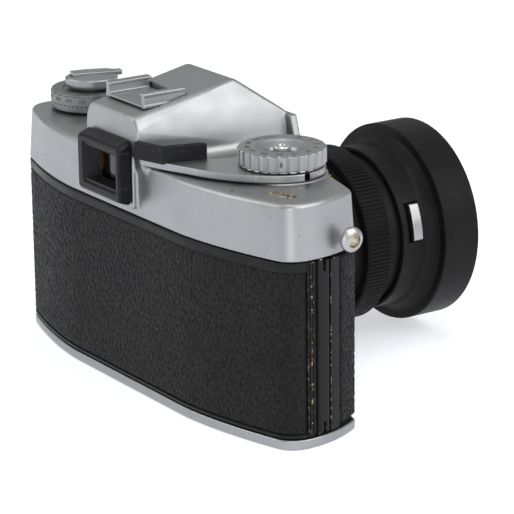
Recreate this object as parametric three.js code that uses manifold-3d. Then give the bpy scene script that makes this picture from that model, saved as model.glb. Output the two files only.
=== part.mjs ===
// A single-lens reflex film camera with its lens and lens hood fitted.
// Millimetres. +Z is up, +Y is the way the lens points, +X is the camera's right end seen from behind.
// Y = 0 is the middle of the rear face and Z = 0 is the underside of the base plate.
import * as THREE from 'three';
import { mergeVertices } from 'three/addons/utils/BufferGeometryUtils.js';
import { ConvexGeometry } from 'three/addons/geometries/ConvexGeometry.js';
import Module from 'manifold-3d';

const wasm = await Module();
wasm.setup();

// ---- driving dimensions ----
const GAP = 0.3;                  // running and assembly clearance between pieces
const SHEET = 1.3;                // pressed metal of the top cover and the base plate
const FAR = 200;                  // beyond every face of the camera
const BASE_TOP = 3.2;             // thickness of the base plate
const CASTING_TOP = 55.75;
const COVER_FOOT = 56.05;         // lower edge of the top cover
const DECK = 72.5;                // flat top of the cover
const ROOF_FRONT = 93.4;          // highest edge of the prism housing
const ROOF_REAR = 86.5;
const HALF_WIDTH = 74;
const LENS = new THREE.Vector2(-2.7, 34.7);      // lens axis: x and z
const BULGE_FRONT = 50.2;         // front of the mirror-box bulge
const BULGE_HALF = 24.8;
const FILM_PLANE = 5;
const GATE_HALF = new THREE.Vector2(18, 12);     // half of the 36 x 24 picture gate
const CASTING_INSET = 1.0;        // casting to outer skin, for the leather
const DOOR_INSET = 2.7;           // casting to outer skin, under the back door
const DOOR_EDGE = 17.2;           // y where the back door ends at both ends of the body
const HINGE = new THREE.Vector2(71.9, 20.2);
const BARREL_RADIUS = 1.95;
const PIN_HOLE = 1.25;
const DIAL = new THREE.Vector2(43.1, 27.5);
const DIAL_RADIUS = 12.9;
const REWIND = new THREE.Vector2(-57.4, 24);
const CASSETTE = new THREE.Vector2(-57, 22.5);
const CASSETTE_RADIUS = 12.7;
const SPOOL = new THREE.Vector2(55.5, 21.5);
const SPROCKET = new THREE.Vector2(35.5, 11);
const ROLLER_OFFSET = 25.5;       // shutter rollers, either side of the lens axis
const ROLLER_Y = 14.3;
const ROLLER_RADIUS = 4;
const COUNTER = new THREE.Vector2(58, 19.8);
const BATTERY = new THREE.Vector2(-31, 28.5);
const SOCKET = new THREE.Vector2(-2.7, 24);
const REWIND_RELEASE = new THREE.Vector2(40, 26);
const SCREWS = [[-64, 26], [63, 26], [18, 9]];
const SOCKET_X = [-50, -61];      // flash sockets on the front of the cover
const SOCKET_Z = 64;
const LUG = { y: 28.6, z: 60.3, head: 3.65, tip: 77 };
const RING_BORE = 21.4;           // inside of the aperture and focus rings
const TUBE = 21;                  // fixed lens tube that they turn on
const APERTURE = { rear: 54.8, front: 60.7, radius: 27.2 };
const FOCUS = { rear: 66.1, ribsRear: 72, front: 80.9, scale: 24.3, ribs: 27.6 };
const HOOD = { rear: 86.4, step: 98.5, front: 111.5, narrow: 25.9, wide: 31.5 };
const FINE = 36;
const COARSE = 20;

// ---- materials ----
function finish(color, roughness, metalness) {
  return new THREE.MeshStandardMaterial({ color, roughness, metalness });
}
const chrome = finish(0xb4b7ba, 0.35, 0.9);
const brightSteel = finish(0xc9cbcd, 0.2, 1);
const darkSteel = finish(0x4c4c4e, 0.4, 0.9);
const brass = finish(0xb08d4a, 0.35, 0.9);
const casting = finish(0x2b2b2d, 0.6, 0.4);
const leather = finish(0x242426, 0.75, 0);
const blackPaint = finish(0x151516, 0.45, 0.2);
const blackPlastic = finish(0x17171a, 0.3, 0);
const cloth = finish(0x101010, 0.9, 0);
const glass = finish(0x8f98a8, 0.05, 0);
const amberGlass = finish(0x5a3d1c, 0.1, 0);

// ---- solids ----
function outward(geometry) {
  const bare = geometry.clone();
  bare.deleteAttribute('normal');
  bare.deleteAttribute('uv');
  const merged = mergeVertices(bare, 1e-4);
  const position = merged.attributes.position;
  const index = Array.from(merged.index.array);
  const corner = [new THREE.Vector3(), new THREE.Vector3(), new THREE.Vector3()];
  let volume = 0;
  for (let i = 0; i < index.length; i += 3) {
    corner.forEach((point, k) => point.fromBufferAttribute(position, index[i + k]));
    volume += corner[0].dot(corner[1].clone().cross(corner[2]));
  }
  if (volume < 0) {
    index.reverse();
  }
  merged.setIndex(index);
  return merged;
}

function solid(geometry) {
  const closed = outward(geometry);
  return new wasm.Manifold(new wasm.Mesh({
    numProp: 3,
    vertProperties: new Float32Array(closed.attributes.position.array),
    triVerts: new Uint32Array(closed.index.array),
  }));
}

function geometryOf(body) {
  const mesh = body.getMesh();
  const geometry = new THREE.BufferGeometry();
  geometry.setAttribute('position', new THREE.BufferAttribute(mesh.vertProperties, 3));
  geometry.setIndex(new THREE.BufferAttribute(mesh.triVerts, 1));
  geometry.computeVertexNormals();
  return geometry;
}

function box(x0, x1, y0, y1, z0, z1) {
  const geometry = new THREE.BoxGeometry(x1 - x0, y1 - y0, z1 - z0);
  geometry.translate((x0 + x1) / 2, (y0 + y1) / 2, (z0 + z1) / 2);
  return solid(geometry);
}

// A flat outline in plan, raised from z0 to z1.
function slab(points, z0, z1) {
  const geometry = new THREE.ExtrudeGeometry(new THREE.Shape(points), {
    depth: z1 - z0,
    bevelEnabled: false,
  });
  geometry.translate(0, 0, z0);
  return solid(geometry);
}

function lathe(profile, segments) {
  const points = profile.map(([radius, along]) => new THREE.Vector2(radius, along));
  if (profile[0][0] > 0) {
    points.push(points[0].clone());
  }
  return new THREE.LatheGeometry(points, segments);
}

// Turned pieces: profile points are [radius, distance along the axis].
function turnedUp(profile, centre, segments = COARSE) {
  const geometry = lathe(profile, segments).rotateX(Math.PI / 2);
  return solid(geometry.translate(centre.x, centre.y, 0));
}

function turnedForward(profile, x = LENS.x, z = LENS.y, segments = FINE) {
  return solid(lathe(profile, segments).translate(x, 0, z));
}

function turnedSideways(profile, side, y, z, segments = COARSE) {
  const geometry = lathe(profile, segments).rotateZ(-Math.PI / 2 * side);
  return solid(geometry.translate(0, y, z));
}

function rodProfile(radius, from, to) {
  return [[0, from], [radius, from], [radius, to], [0, to]];
}

function ringProfile(inner, outer, from, to) {
  return [[inner, from], [outer, from], [outer, to], [inner, to]];
}

function post(radius, z0, z1, centre, segments = COARSE) {
  return turnedUp(rodProfile(radius, z0, z1), centre, segments);
}

function hull(points) {
  return solid(new ConvexGeometry(points.map(([x, y, z]) => new THREE.Vector3(x, y, z))));
}

// Points mirrored about the lens axis: each entry is [half width, y, z].
function symmetricHull(entries) {
  const points = [];
  for (const [half, y, z] of entries) {
    points.push([LENS.x - half, y, z], [LENS.x + half, y, z]);
  }
  return hull(points);
}

const centreAt = (x, y) => new THREE.Vector2(x, y);

// ---- body plan ----
// The rear and both ends, from the left front corner round the back to the right front corner.
function wrapPoints() {
  const path = new THREE.Path();
  path.moveTo(-69.1, 34);
  path.quadraticCurveTo(-74.6, 24.2, -HALF_WIDTH, 14.8);
  path.quadraticCurveTo(-73.3, 8.9, -68.6, 7.4);
  path.bezierCurveTo(-56, 3.4, -42, 0.4, -30, 0);
  path.lineTo(30, 0);
  path.bezierCurveTo(42, 0.4, 56, 3.4, 68.6, 7.4);
  path.quadraticCurveTo(73.3, 8.9, HALF_WIDTH, 14.8);
  path.quadraticCurveTo(74.6, 24.2, 69.1, 34);
  return path.getPoints(5);
}

// The front, from the right front corner over the mirror-box bulge to the left front corner.
function frontPoints() {
  const path = new THREE.Path();
  path.moveTo(69.1, 34);
  path.quadraticCurveTo(68.6, 35.2, 67, 35.4);
  path.bezierCurveTo(58, 37.3, 46, 39.1, LENS.x + 34, 39.4);
  path.quadraticCurveTo(LENS.x + BULGE_HALF, 39.6, LENS.x + BULGE_HALF, 45.5);
  path.quadraticCurveTo(LENS.x + BULGE_HALF, BULGE_FRONT, LENS.x + 20, BULGE_FRONT);
  path.lineTo(LENS.x - 20, BULGE_FRONT);
  path.quadraticCurveTo(LENS.x - BULGE_HALF, BULGE_FRONT, LENS.x - BULGE_HALF, 45.5);
  path.quadraticCurveTo(LENS.x - BULGE_HALF, 39.6, LENS.x - 34, 39.4);
  path.bezierCurveTo(-48, 39.1, -59, 37.3, -67, 35.4);
  path.quadraticCurveTo(-68.6, 35.2, -69.1, 34);
  return path.getPoints(4);
}

// Moves each point of a run to its left by distance, which is inwards on the counter-clockwise plan.
function shifted(points, distance, closed) {
  const count = points.length;
  return points.map((point, i) => {
    const before = closed || i > 0 ? points[(i + count - 1) % count] : point;
    const after = closed || i < count - 1 ? points[(i + 1) % count] : point;
    const into = point.clone().sub(before).normalize();
    const out = after.clone().sub(point).normalize();
    const along = into.clone().add(out).normalize();
    const reach = into.lengthSq() > 0 && out.lengthSq() > 0 ? along.dot(out) : 1;
    return new THREE.Vector2(point.x - along.y * distance / reach, point.y + along.x * distance / reach);
  });
}

function plan(inset, z0, z1) {
  const outline = [...wrapPoints(), ...frontPoints().slice(1, -1)];
  return slab(shifted(outline, inset, true), z0, z1);
}

// A wall that follows the rear and the ends, between two insets from the outer skin.
function wrapWall(outer, inner, z0, z1) {
  const wrap = wrapPoints();
  return slab([...shifted(wrap, outer, false), ...shifted(wrap, inner, false).reverse()], z0, z1);
}

function wrapCore(inset, z0, z1) {
  return slab(shifted(wrapPoints(), inset, false), z0, z1);
}

const behind = (y) => box(-FAR, FAR, -FAR, y, -FAR, FAR);
const inFrontOf = (y) => box(-FAR, FAR, y, FAR, -FAR, FAR);

// ---- assembly ----
const camera = new THREE.Group();

function add(name, body, material, parent = camera) {
  const mesh = new THREE.Mesh(geometryOf(body), material);
  mesh.name = name;
  parent.add(mesh);
  return mesh;
}

// Body casting: film chambers at the rear, mirror box in the middle, pockets for all that fits in it.
const TUNNEL = { half: 19.5, rear: 8.5, low: 15.5, high: 53.5 };
const CHAMBER = { low: 5.5, high: 53.7 };
const SPOOL_ROOM = 13;
const SPROCKET_ROOM = 6.3;
const CURTAIN = { low: 10, high: 49, rear: 9.5, front: 9.9, half: 24.5 };
const BUTTONS = [[34, 22, 3.2], [34, 44, 3.6]];      // preview and lens release: x, z, radius
const SPINDLE_HOLE = 1.5;
const TIMER = { x: -42, z: 44, front: 39.3 };

// A film chamber is round in front and open to the rear.
function chamber(centre, radius, segments = COARSE) {
  const opening = box(centre.x - radius, centre.x + radius, -1, centre.y, CHAMBER.low, CHAMBER.high);
  return post(radius, CHAMBER.low, CHAMBER.high, centre, segments).add(opening);
}

function timerHole() {
  return turnedForward(rodProfile(SPINDLE_HOLE, 30, 60), TIMER.x, TIMER.z, COARSE);
}

function buttonHoles(from) {
  return BUTTONS.map(([x, z, radius]) => turnedForward(rodProfile(radius + GAP, from, 60), x, z, COARSE));
}

const screwHoles = (radius, top) => SCREWS.map(([x, y]) => post(radius, -1, top, centreAt(x, y), 12));

function cutFrom(body, cuts) {
  return cuts.reduce((rest, cut) => rest.subtract(cut), body);
}

function bodyCasting() {
  let body = plan(CASTING_INSET, BASE_TOP + GAP, CASTING_TOP).intersect(inFrontOf(18.6));
  body = body.add(wrapCore(DOOR_INSET, BASE_TOP + GAP, CASTING_TOP).intersect(behind(19)));
  body = body.add(turnedForward(rodProfile(20.9, 43, BULGE_FRONT)));
  const cuts = [
    box(-44, 40, -1, FILM_PLANE, CHAMBER.low, CHAMBER.high),
    chamber(CASSETTE, CASSETTE_RADIUS, FINE),
    chamber(SPOOL, SPOOL_ROOM, FINE),
    chamber(SPROCKET, SPROCKET_ROOM),
    box(LENS.x - GATE_HALF.x, LENS.x + GATE_HALF.x, 4, 10, LENS.y - GATE_HALF.y, LENS.y + GATE_HALF.y),
    box(LENS.x - TUNNEL.half, LENS.x + TUNNEL.half, TUNNEL.rear, 60, TUNNEL.low, TUNNEL.high),
    box(LENS.x - 18.5, LENS.x + 18.5, 13, 41, 50, 60),
    box(LENS.x - ROLLER_OFFSET, LENS.x + ROLLER_OFFSET, CURTAIN.rear - GAP, CURTAIN.front + 0.7,
      CURTAIN.low - 1, CURTAIN.high + 1),
    post(ROLLER_RADIUS + 0.7, CURTAIN.low - 1, CURTAIN.high + 1, centreAt(LENS.x - ROLLER_OFFSET, ROLLER_Y)),
    post(ROLLER_RADIUS + 0.7, CURTAIN.low - 1, CURTAIN.high + 1, centreAt(LENS.x + ROLLER_OFFSET, ROLLER_Y)),
    post(3.6, 50, 60, REWIND),
    post(8.3, 0, 10.4, BATTERY),
    post(7.6, 0, 8.8, SOCKET),
    post(3, 0, 7.5, REWIND_RELEASE, 16),
    box(69.2, 80, 16, 23.5, 0, 60),
    box(-80, -71.6, 20.3, 26.3, 23.7, 38.3),
    timerHole(),
    ...buttonHoles(34.5),
    ...screwHoles(1.6, 5.2),
  ];
  return cutFrom(body, cuts);
}
add('body_casting', bodyCasting(), casting);

// Leather on the front, from the bulge round each front corner.
const FRONT_LEATHER = { low: 5, high: 54.6, rear: 27, fromBulge: 3.5, thick: 0.7 };

function frontLeather(side) {
  const { low, high, rear, fromBulge, thick } = FRONT_LEATHER;
  const inner = LENS.x + side * (BULGE_HALF + fromBulge);
  const zone = box(Math.min(inner, side * FAR), Math.max(inner, side * FAR), rear, FAR, low, high);
  const skin = plan(0, low, high).subtract(plan(thick, low - 1, high + 1)).intersect(zone);
  return cutFrom(skin, side > 0 ? buttonHoles(30) : [timerHole()]);
}
add('front_leather_right', frontLeather(1), leather);
add('front_leather_left', frontLeather(-1), leather);

// Top cover: a drawn shell with the sloping prism housing raised from its middle.
const SHOE = { rear: 3, front: 17.5, half: 10.6, floor: 88, top: 92.3, sheet: 0.8, wall: 1, lip: 2.6 };
const EYEPIECE = { x: -3.3, half: 11.8, low: 61, high: 77.7, foot: -2.3, rear: -6.5 };

function prismHousing(skin) {
  return symmetricHull([
    [11.9 - skin, -2 + skin, ROOF_REAR - skin], [12.7 - skin, 33.2 - skin / 2, ROOF_FRONT - 1.2 * skin],
    [14.5 - skin, -2 + skin, 82.6 - skin / 2], [18.6 - skin, 48.6 - 1.2 * skin, 82.1 - skin / 2],
    [15 - skin, -2 + skin, 71], [20.3 - skin, BULGE_FRONT - skin, 71],
  ]);
}

// Counter window: a slot with round ends.
const WINDOW = { x: 61.5, y: 14.4, reach: 6.2, radius: 1.7, angle: 0.363 };

function windowEnd(end) {
  const along = end * WINDOW.reach / 2;
  return centreAt(WINDOW.x + along * Math.cos(WINDOW.angle), WINDOW.y + along * Math.sin(WINDOW.angle));
}

function topCover() {
  const rearPad = box(LENS.x - 13, LENS.x + 13, -2, 2, 58.5, 75);
  const frontBlock = symmetricHull([[21, 48, 81.5], [21, BULGE_FRONT - 0.8, 81.5], [22, BULGE_FRONT, 80.4],
    [22.4, 47.5, 80.4], [24, 46, 72], [22.6, BULGE_FRONT - 0.4, 72]]);
  const cover = plan(0, COVER_FOOT, DECK).add(prismHousing(0)).add(rearPad).add(frontBlock);
  const windowBox = new THREE.BoxGeometry(WINDOW.reach, 2 * WINDOW.radius, 6);
  windowBox.rotateZ(WINDOW.angle).translate(WINDOW.x, WINDOW.y, DECK);
  const pocketHalf = SHOE.half + GAP;
  const pocketLow = SHOE.floor - GAP;
  const pocketFront = SHOE.front + GAP;
  const pocket = box(LENS.x - pocketHalf, LENS.x + pocketHalf, SHOE.rear - 1, pocketFront, pocketLow, FAR);
  const underPocket = box(-FAR, FAR, -FAR, pocketFront + SHEET, pocketLow - SHEET, FAR);
  const cuts = [
    plan(SHEET, 50, DECK - SHEET),
    prismHousing(SHEET).subtract(underPocket),
    pocket,
    post(4.5, 60, 80, DIAL),
    post(3.7, 60, 80, REWIND),
    solid(windowBox),
    ...[-1, 1].map((end) => post(WINDOW.radius, 60, 80, windowEnd(end))),
    box(LENS.x - 8, LENS.x + 8, -5, 5, 63.5, 75),
  ];
  for (const x of SOCKET_X) {
    cuts.push(turnedForward(rodProfile(2.4, 30, 45), x, SOCKET_Z, COARSE));
  }
  return cutFrom(cover, cuts);
}
add('top_cover', topCover(), chrome);

// Flash sockets: a flanged barrel with a centre bore.
SOCKET_X.forEach((x, i) => {
  const seat = 39.6 - Math.max(0, -x - 48) * 0.13;
  const face = seat + 1.4;
  const profile = [[0.8, seat - 4], [2.1, seat - 4], [2.1, seat], [3, seat], [3, face], [0.8, face]];
  add(`flash_socket_${i + 1}`, turnedForward(profile, x, SOCKET_Z, COARSE), brightSteel);
});

// Accessory shoe: a level floor let into the sloping roof, and rails with lips turned inwards.
function accessoryShoe() {
  const { rear, front, half, floor, top, sheet, wall, lip } = SHOE;
  let shoe = box(LENS.x - half, LENS.x + half, rear, front, floor, floor + sheet);
  for (const side of [-1, 1]) {
    const outer = LENS.x + side * half;
    const inner = outer - side * wall;
    const lipEdge = outer - side * lip;
    shoe = shoe.add(box(Math.min(outer, inner), Math.max(outer, inner), rear, front, floor, top));
    shoe = shoe.add(box(Math.min(outer, lipEdge), Math.max(outer, lipEdge), rear, front, top - sheet, top));
  }
  return shoe;
}
add('accessory_shoe', accessoryShoe(), chrome);

// Eyepiece: a black funnel frame and its amber-tinted glass.
function eyepieceFrame() {
  const { x, half, low, high, foot, rear } = EYEPIECE;
  const outer = hull([-half, half].flatMap((dx) => [
    [x + dx, foot, low - 1.5], [x + dx, foot, high + 1.6], [x + dx, rear, low], [x + dx, rear, high],
  ]));
  const funnel = hull([-1, 1].flatMap((s) => [
    [LENS.x + s * 8.6, rear - 0.1, 64.3], [LENS.x + s * 8.6, rear - 0.1, 75],
    [LENS.x + s * 6.6, foot + 0.1, 65.4], [LENS.x + s * 6.6, foot + 0.1, 73.4],
  ]));
  return outer.subtract(funnel);
}
add('eyepiece_frame', eyepieceFrame(), blackPlastic);
add('eyepiece_lens', box(LENS.x - 7.6, LENS.x + 7.6, -1.9, 0.4, 63.9, 74.6), amberGlass);

// Viewfinder: ground screen over the mirror box and the pentaprism on top of it.
add('focusing_screen', box(LENS.x - 18.1, LENS.x + 18.1, 13.4, 40.6, 54.2, 55.9), glass);
add('pentaprism', symmetricHull([[14, 12.5, 56.4], [14, 40.5, 56.4], [12.5, 41, 66], [4, 31, 80.5],
  [4, 12, 77.5], [12.5, 7, 72], [12.5, 7, 62]]), glass);

// Base plate: a shallow tray, open upwards.
function basePlate() {
  let plate = plan(0, 0, BASE_TOP).subtract(plan(SHEET, SHEET, 10));
  const bosses = [post(8.8, 0, BASE_TOP, SOCKET), post(11, 0, BASE_TOP, BATTERY),
    post(4.2, 0, BASE_TOP, REWIND_RELEASE, 12)];
  plate = bosses.reduce((rest, boss) => rest.add(boss), plate);
  return cutFrom(plate, [
    post(7.4, -1, 5, SOCKET),
    post(9.7, -1, 5, BATTERY),
    post(3, -1, 5, REWIND_RELEASE, 16),
    ...screwHoles(2.6, 5),
  ]);
}
add('base_plate', basePlate(), chrome);

const bush = [[0, 6.4], [3.2, 6.4], [3.2, 0.1], [7, 0.1], [7, 8.4], [0, 8.4]];
add('tripod_socket', turnedUp(bush, SOCKET), brightSteel);
add('battery', post(7.8, 4, 10, BATTERY), brightSteel);
const coinSlot = box(BATTERY.x - 6, BATTERY.x + 6, BATTERY.y - 0.6, BATTERY.y + 0.6, 0, 0.9);
add('battery_cover', post(9.3, 0.1, BASE_TOP, BATTERY).subtract(coinSlot), brightSteel);

add('rewind_release_button', post(2.6, 0.1, 5.4, REWIND_RELEASE, 16), brightSteel);
SCREWS.forEach(([x, y], i) => {
  const profile = [[0, 0.1], [2.2, 0.1], [2.2, 1.2], [1.2, 1.8], [1.2, 5], [0, 5]];
  add(`base_screw_${i + 1}`, turnedUp(profile, centreAt(x, y), 16), brightSteel);
});

// Strap lugs: a domed stud at each end of the top cover.
for (const [name, side] of [['strap_lug_right', 1], ['strap_lug_left', -1]]) {
  const { head, tip } = LUG;
  const profile = [[0, 72.8], [1.9, 72.8], [1.9, tip - 2.4], [head, tip - 2], [head, tip - 1],
    [head - 1, tip], [0, tip]];
  add(name, turnedSideways(profile, side, LUG.y, LUG.z), brass);
}

// Shutter: cloth curtain across the gate and the roller at each side that winds it.
add('shutter_curtain', box(LENS.x - CURTAIN.half, LENS.x + CURTAIN.half, CURTAIN.rear, CURTAIN.front,
  CURTAIN.low, CURTAIN.high), cloth);
for (const [name, side] of [['curtain_roller_left', -1], ['curtain_roller_right', 1]]) {
  add(name, post(ROLLER_RADIUS, CURTAIN.low - 0.6, CURTAIN.high + 0.6,
    centreAt(LENS.x + side * ROLLER_OFFSET, ROLLER_Y)), darkSteel);
}

// Film transport.
const spool = [[0, 6], [10, 6], [10, 7.4], [7, 7.4], [7, 51.4], [10, 51.4], [10, 52.8], [0, 52.8]];
add('takeup_spool', turnedUp(spool, SPOOL), blackPlastic);

function sprocketDrum() {
  const radius = 5;
  let drum = turnedUp([[0, 6], [radius, 6], [radius, 18], [radius - 1, 19], [radius - 1, 50], [radius, 51],
    [radius, 52.8], [0, 52.8]], SPROCKET, 16);
  for (const z of [16, 51]) {
    for (let tooth = 0; tooth < 8; tooth += 1) {
      const spike = new THREE.BoxGeometry(1.6, 0.9, 1).translate(radius - 0.1, 0, z);
      drum = drum.add(solid(spike.rotateZ(tooth * Math.PI / 4 + 0.2).translate(SPROCKET.x, SPROCKET.y, 0)));
    }
  }
  return drum;
}
add('sprocket_drum', sprocketDrum(), darkSteel);

// Reflex mirror at 45 degrees, hinged along its upper rear edge.
const MIRROR = { y: 14.4, z: 51.4, length: 31.5, half: 17.8 };
const mirrorPlate = new THREE.BoxGeometry(2 * MIRROR.half, MIRROR.length, 1.4);
mirrorPlate.translate(0, MIRROR.length / 2, 0).rotateX(-Math.PI / 4).translate(LENS.x, MIRROR.y, MIRROR.z);
add('reflex_mirror', solid(mirrorPlate), brightSteel);

// Back door on a vertical hinge at the right end, with its leather set in a shallow recess.
const KNUCKLE = { low: 12, high: 47 };      // the door's own stretch of the hinge
const DOOR = { low: BASE_TOP + 0.4, high: CASTING_TOP - 0.05 };
const DOOR_LEATHER = { low: 4.9, high: 52.6, edge: 14.2 };

function backDoor() {
  const shell = wrapWall(0, 2.3, DOOR.low, DOOR.high).intersect(behind(DOOR_EDGE));
  const recess = wrapWall(-1, 0.8, DOOR_LEATHER.low - GAP, DOOR_LEATHER.high + GAP)
    .intersect(behind(DOOR_LEATHER.edge + GAP));
  const knuckle = post(BARREL_RADIUS, KNUCKLE.low, KNUCKLE.high, HINGE);
  const web = box(HINGE.x - 0.9, HINGE.x + 1.1, DOOR_EDGE - 1, HINGE.y, KNUCKLE.low, KNUCKLE.high);
  return shell.subtract(recess).add(knuckle).add(web).subtract(post(PIN_HOLE, 0, 60, HINGE));
}
add('back_door', backDoor(), blackPaint);
const doorSkin = wrapWall(0, 0.5, DOOR_LEATHER.low, DOOR_LEATHER.high);
add('door_leather', doorSkin.intersect(behind(DOOR_LEATHER.edge)), leather);
add('pressure_spring', box(LENS.x - 16, LENS.x + 16, 2.55, 2.95, 31, 38), brightSteel);
add('pressure_plate', box(LENS.x - 28, LENS.x + 28, 3.5, 4.5, LENS.y - 17, LENS.y + 17), darkSteel);

// Hinge: the fixed leaf on the body end, its two knuckles and the pin.
const LEAF = { low: 4, high: 55.3, rear: 22.75, front: 26.6 };

function hingeLeaf() {
  const { low, high, rear, front } = LEAF;
  const strip = wrapWall(0, 0.7, low, high).intersect(box(0, FAR, rear, front, low - 1, high + 1));
  const joining = box(HINGE.x - 0.4, HINGE.x + 1.2, HINGE.y, rear + 0.35, low, high);
  const barrel = post(BARREL_RADIUS, low, high, HINGE);
  const doorRoom = box(60, 80, 10, rear - 0.05, KNUCKLE.low - GAP, KNUCKLE.high + GAP);
  return strip.add(joining).add(barrel).subtract(doorRoom).subtract(post(PIN_HOLE, 0, 60, HINGE));
}
add('hinge_leaf', hingeLeaf(), darkSteel);
add('hinge_pin', post(PIN_HOLE - GAP, LEAF.low + 0.1, LEAF.high + 0.2, HINGE, 16), brightSteel);

// Sliding catch at the left end that holds the back shut.
add('door_catch', box(-73.9, -72, 20.8, 25.8, 24.2, 33.2), brightSteel);

// Advance lever: a broad chrome blade round the dial's shaft, with a black thumb tip.
const LEVER = { low: 73.1, high: 75.3, hub: 12.6 };
const TIP = { low: 75.6, high: 80.3 };

function advanceLever() {
  const blade = [[13.4, -2.2], [20.9, 0.1], [34, 4.6], [43.5, 9.2], [49.5, 13.2], [54, 20], [43, 30],
    [30.6, 25], [26.5, 14.5], [18, 8.5]].map(([x, y]) => centreAt(x, y));
  const lever = slab(blade, LEVER.low, LEVER.high).add(post(LEVER.hub, LEVER.low, LEVER.high, DIAL, FINE));
  return lever.add(post(4.2, 62, LEVER.high, DIAL)).subtract(post(3.1, 50, 90, DIAL));
}
add('advance_lever', advanceLever(), chrome);
const tipPlan = [[11.6, -3.1], [22.4, 0.1], [26.4, 13], [17.5, 9], [13.2, -0.6]];
add('lever_tip', slab(tipPlan.map(([x, y]) => new THREE.Vector2(x, y)), TIP.low, TIP.high), blackPlastic);

// Shutter-speed dial with a dished middle, and the release button through it.
add('speed_dial', turnedUp([[3.1, 75.6], [DIAL_RADIUS, 75.6], [DIAL_RADIUS, 80.6], [12.6, 80.8], [7.8, 80.8],
  [6.6, 79], [3.1, 79]], DIAL, FINE), chrome);
const plunger = [[0, 62], [2.6, 62], [2.6, 80.6], [2.2, 81], [0, 80.8]];
add('release_button', turnedUp(plunger, DIAL, 20), brightSteel);

// Frame counter: numbered disc under a glass window in the deck.
add('counter_disc', post(8.2, 68.8, 70, COUNTER), blackPaint);
const counterGlass = new THREE.BoxGeometry(WINDOW.reach + 1.4, 2 * WINDOW.radius - 0.6, 1.6);
counterGlass.rotateZ(WINDOW.angle).translate(WINDOW.x, WINDOW.y, DECK - 0.9);
add('counter_window', solid(counterGlass), glass);

// Film-speed ring, rewind knob with its sleeve and forked shaft, and the folding crank.
const RING_TOP = 79;               // film-speed ring
const KNOB = { low: RING_TOP + GAP, high: 82.4, radius: 8.3, seat: 81.8, shaft: 2.2 };
const CRANK = { angle: -0.3, radius: 8, edge: 1.3, back: 5.8, reach: 9.9, nub: 1.9, low: 82.1, high: 83.2 };
const ring = [[4, 73.1], [DIAL_RADIUS, 73.1], [DIAL_RADIUS, RING_TOP - 0.3], [12.6, RING_TOP], [4, RING_TOP]];
add('film_speed_ring', turnedUp(ring, REWIND, FINE), chrome);
add('rewind_sleeve', turnedUp(ringProfile(2.5, 3.3, 58, RING_TOP), REWIND, 20), brightSteel);

// Drawn with the crank along Y, then turned to the way that it lies.
function onKnob(geometry) {
  return solid(geometry.rotateZ(CRANK.angle).translate(REWIND.x, REWIND.y, 0));
}

// One side of the knob's top is lower, as a seat for the crank.
function rewindKnob() {
  const round = post(KNOB.radius, KNOB.low, KNOB.high, REWIND, FINE);
  const seat = new THREE.BoxGeometry(20, 40, 2).translate(CRANK.edge + GAP - 10, 0, KNOB.seat + 1);
  const shaft = post(KNOB.shaft, 47, KNOB.low + 1, REWIND);
  const fork = box(REWIND.x - 0.7, REWIND.x + 0.7, REWIND.y - 5, REWIND.y + 5, 46, 51);
  return round.subtract(onKnob(seat)).add(shaft).subtract(fork);
}
add('rewind_knob', rewindKnob(), chrome);

// The crank folds flat as a D-shaped plate with a finger nub past the knob's rim.
function rewindCrank() {
  const { radius, edge, back, reach, nub, low, high } = CRANK;
  const outline = new THREE.Shape();
  outline.absarc(0, 0, radius, Math.acos(edge / radius), Math.PI + Math.asin(back / radius), false);
  outline.lineTo(edge, -back);
  const plate = new THREE.ExtrudeGeometry(outline, { depth: high - low, bevelEnabled: false, curveSegments: 24 });
  const tab = new THREE.BoxGeometry(2 * nub, reach, high - low);
  tab.translate(edge - nub, reach / 2, (low + high) / 2);
  return onKnob(plate.translate(0, 0, low)).add(onKnob(tab));
}
add('rewind_crank', rewindCrank(), brightSteel);

// Controls on the front.
function frontButton([x, z, radius], front) {
  return turnedForward(rodProfile(radius, 36.5, front), x, z, COARSE);
}
add('preview_button', frontButton(BUTTONS[0], 42.6), brightSteel);
add('lens_release_button', frontButton(BUTTONS[1], 43.4), brightSteel);

function selfTimerLever() {
  const hub = turnedForward(rodProfile(4.6, 40, 43), TIMER.x, TIMER.z, COARSE);
  const spindle = turnedForward(rodProfile(1.2, 34, 41), TIMER.x, TIMER.z, 16);
  const arm = hull([40, 42.2].flatMap((y) => [-1, 1].flatMap((side) => [
    [TIMER.x + side * 3.4, y, TIMER.z],
    [TIMER.x + side * 2.2, y, TIMER.z - 20],
  ])));
  return hub.add(spindle).add(arm);
}
add('self_timer_lever', selfTimerLever(), chrome);

// ---- lens ----
const lens = new THREE.Group();
camera.add(lens);
add('mount_flange', turnedForward(ringProfile(21.5, 26.5, BULGE_FRONT + GAP, 52.9)), brightSteel, lens);
const barrel = [[14.5, 48.5], [17.5, 48.5], [17.5, 53.2], [26.4, 53.2], [26.4, 54.4], [TUBE, 54.4], [TUBE, 61],
  [26, 61], [26, 65.8], [TUBE, 65.8], [TUBE, 77.5], [17.6, 77.5], [17.6, 57], [14.5, 56]];
add('lens_barrel', turnedForward(barrel), blackPaint, lens);
const apertureProfile = ringProfile(RING_BORE, APERTURE.radius, APERTURE.rear, APERTURE.front);
add('aperture_ring', turnedForward(apertureProfile), blackPaint, lens);
const focusProfile = [[RING_BORE, FOCUS.rear], [FOCUS.scale, FOCUS.rear], [FOCUS.scale, FOCUS.ribsRear],
  [FOCUS.ribs, FOCUS.ribsRear], [FOCUS.ribs, FOCUS.front], [RING_BORE, FOCUS.front]];
add('focus_ring', turnedForward(focusProfile), blackPaint, lens);
const frontFace = FOCUS.front + 0.4;
const frontProfile = [[13.5, 60.5], [17.2, 60.5], [17.2, frontFace], [24, frontFace], [24, 97], [20.5, 97],
  [16.5, 92], [16.5, 84], [13.5, 82]];
add('front_barrel', turnedForward(frontProfile), blackPaint, lens);
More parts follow.
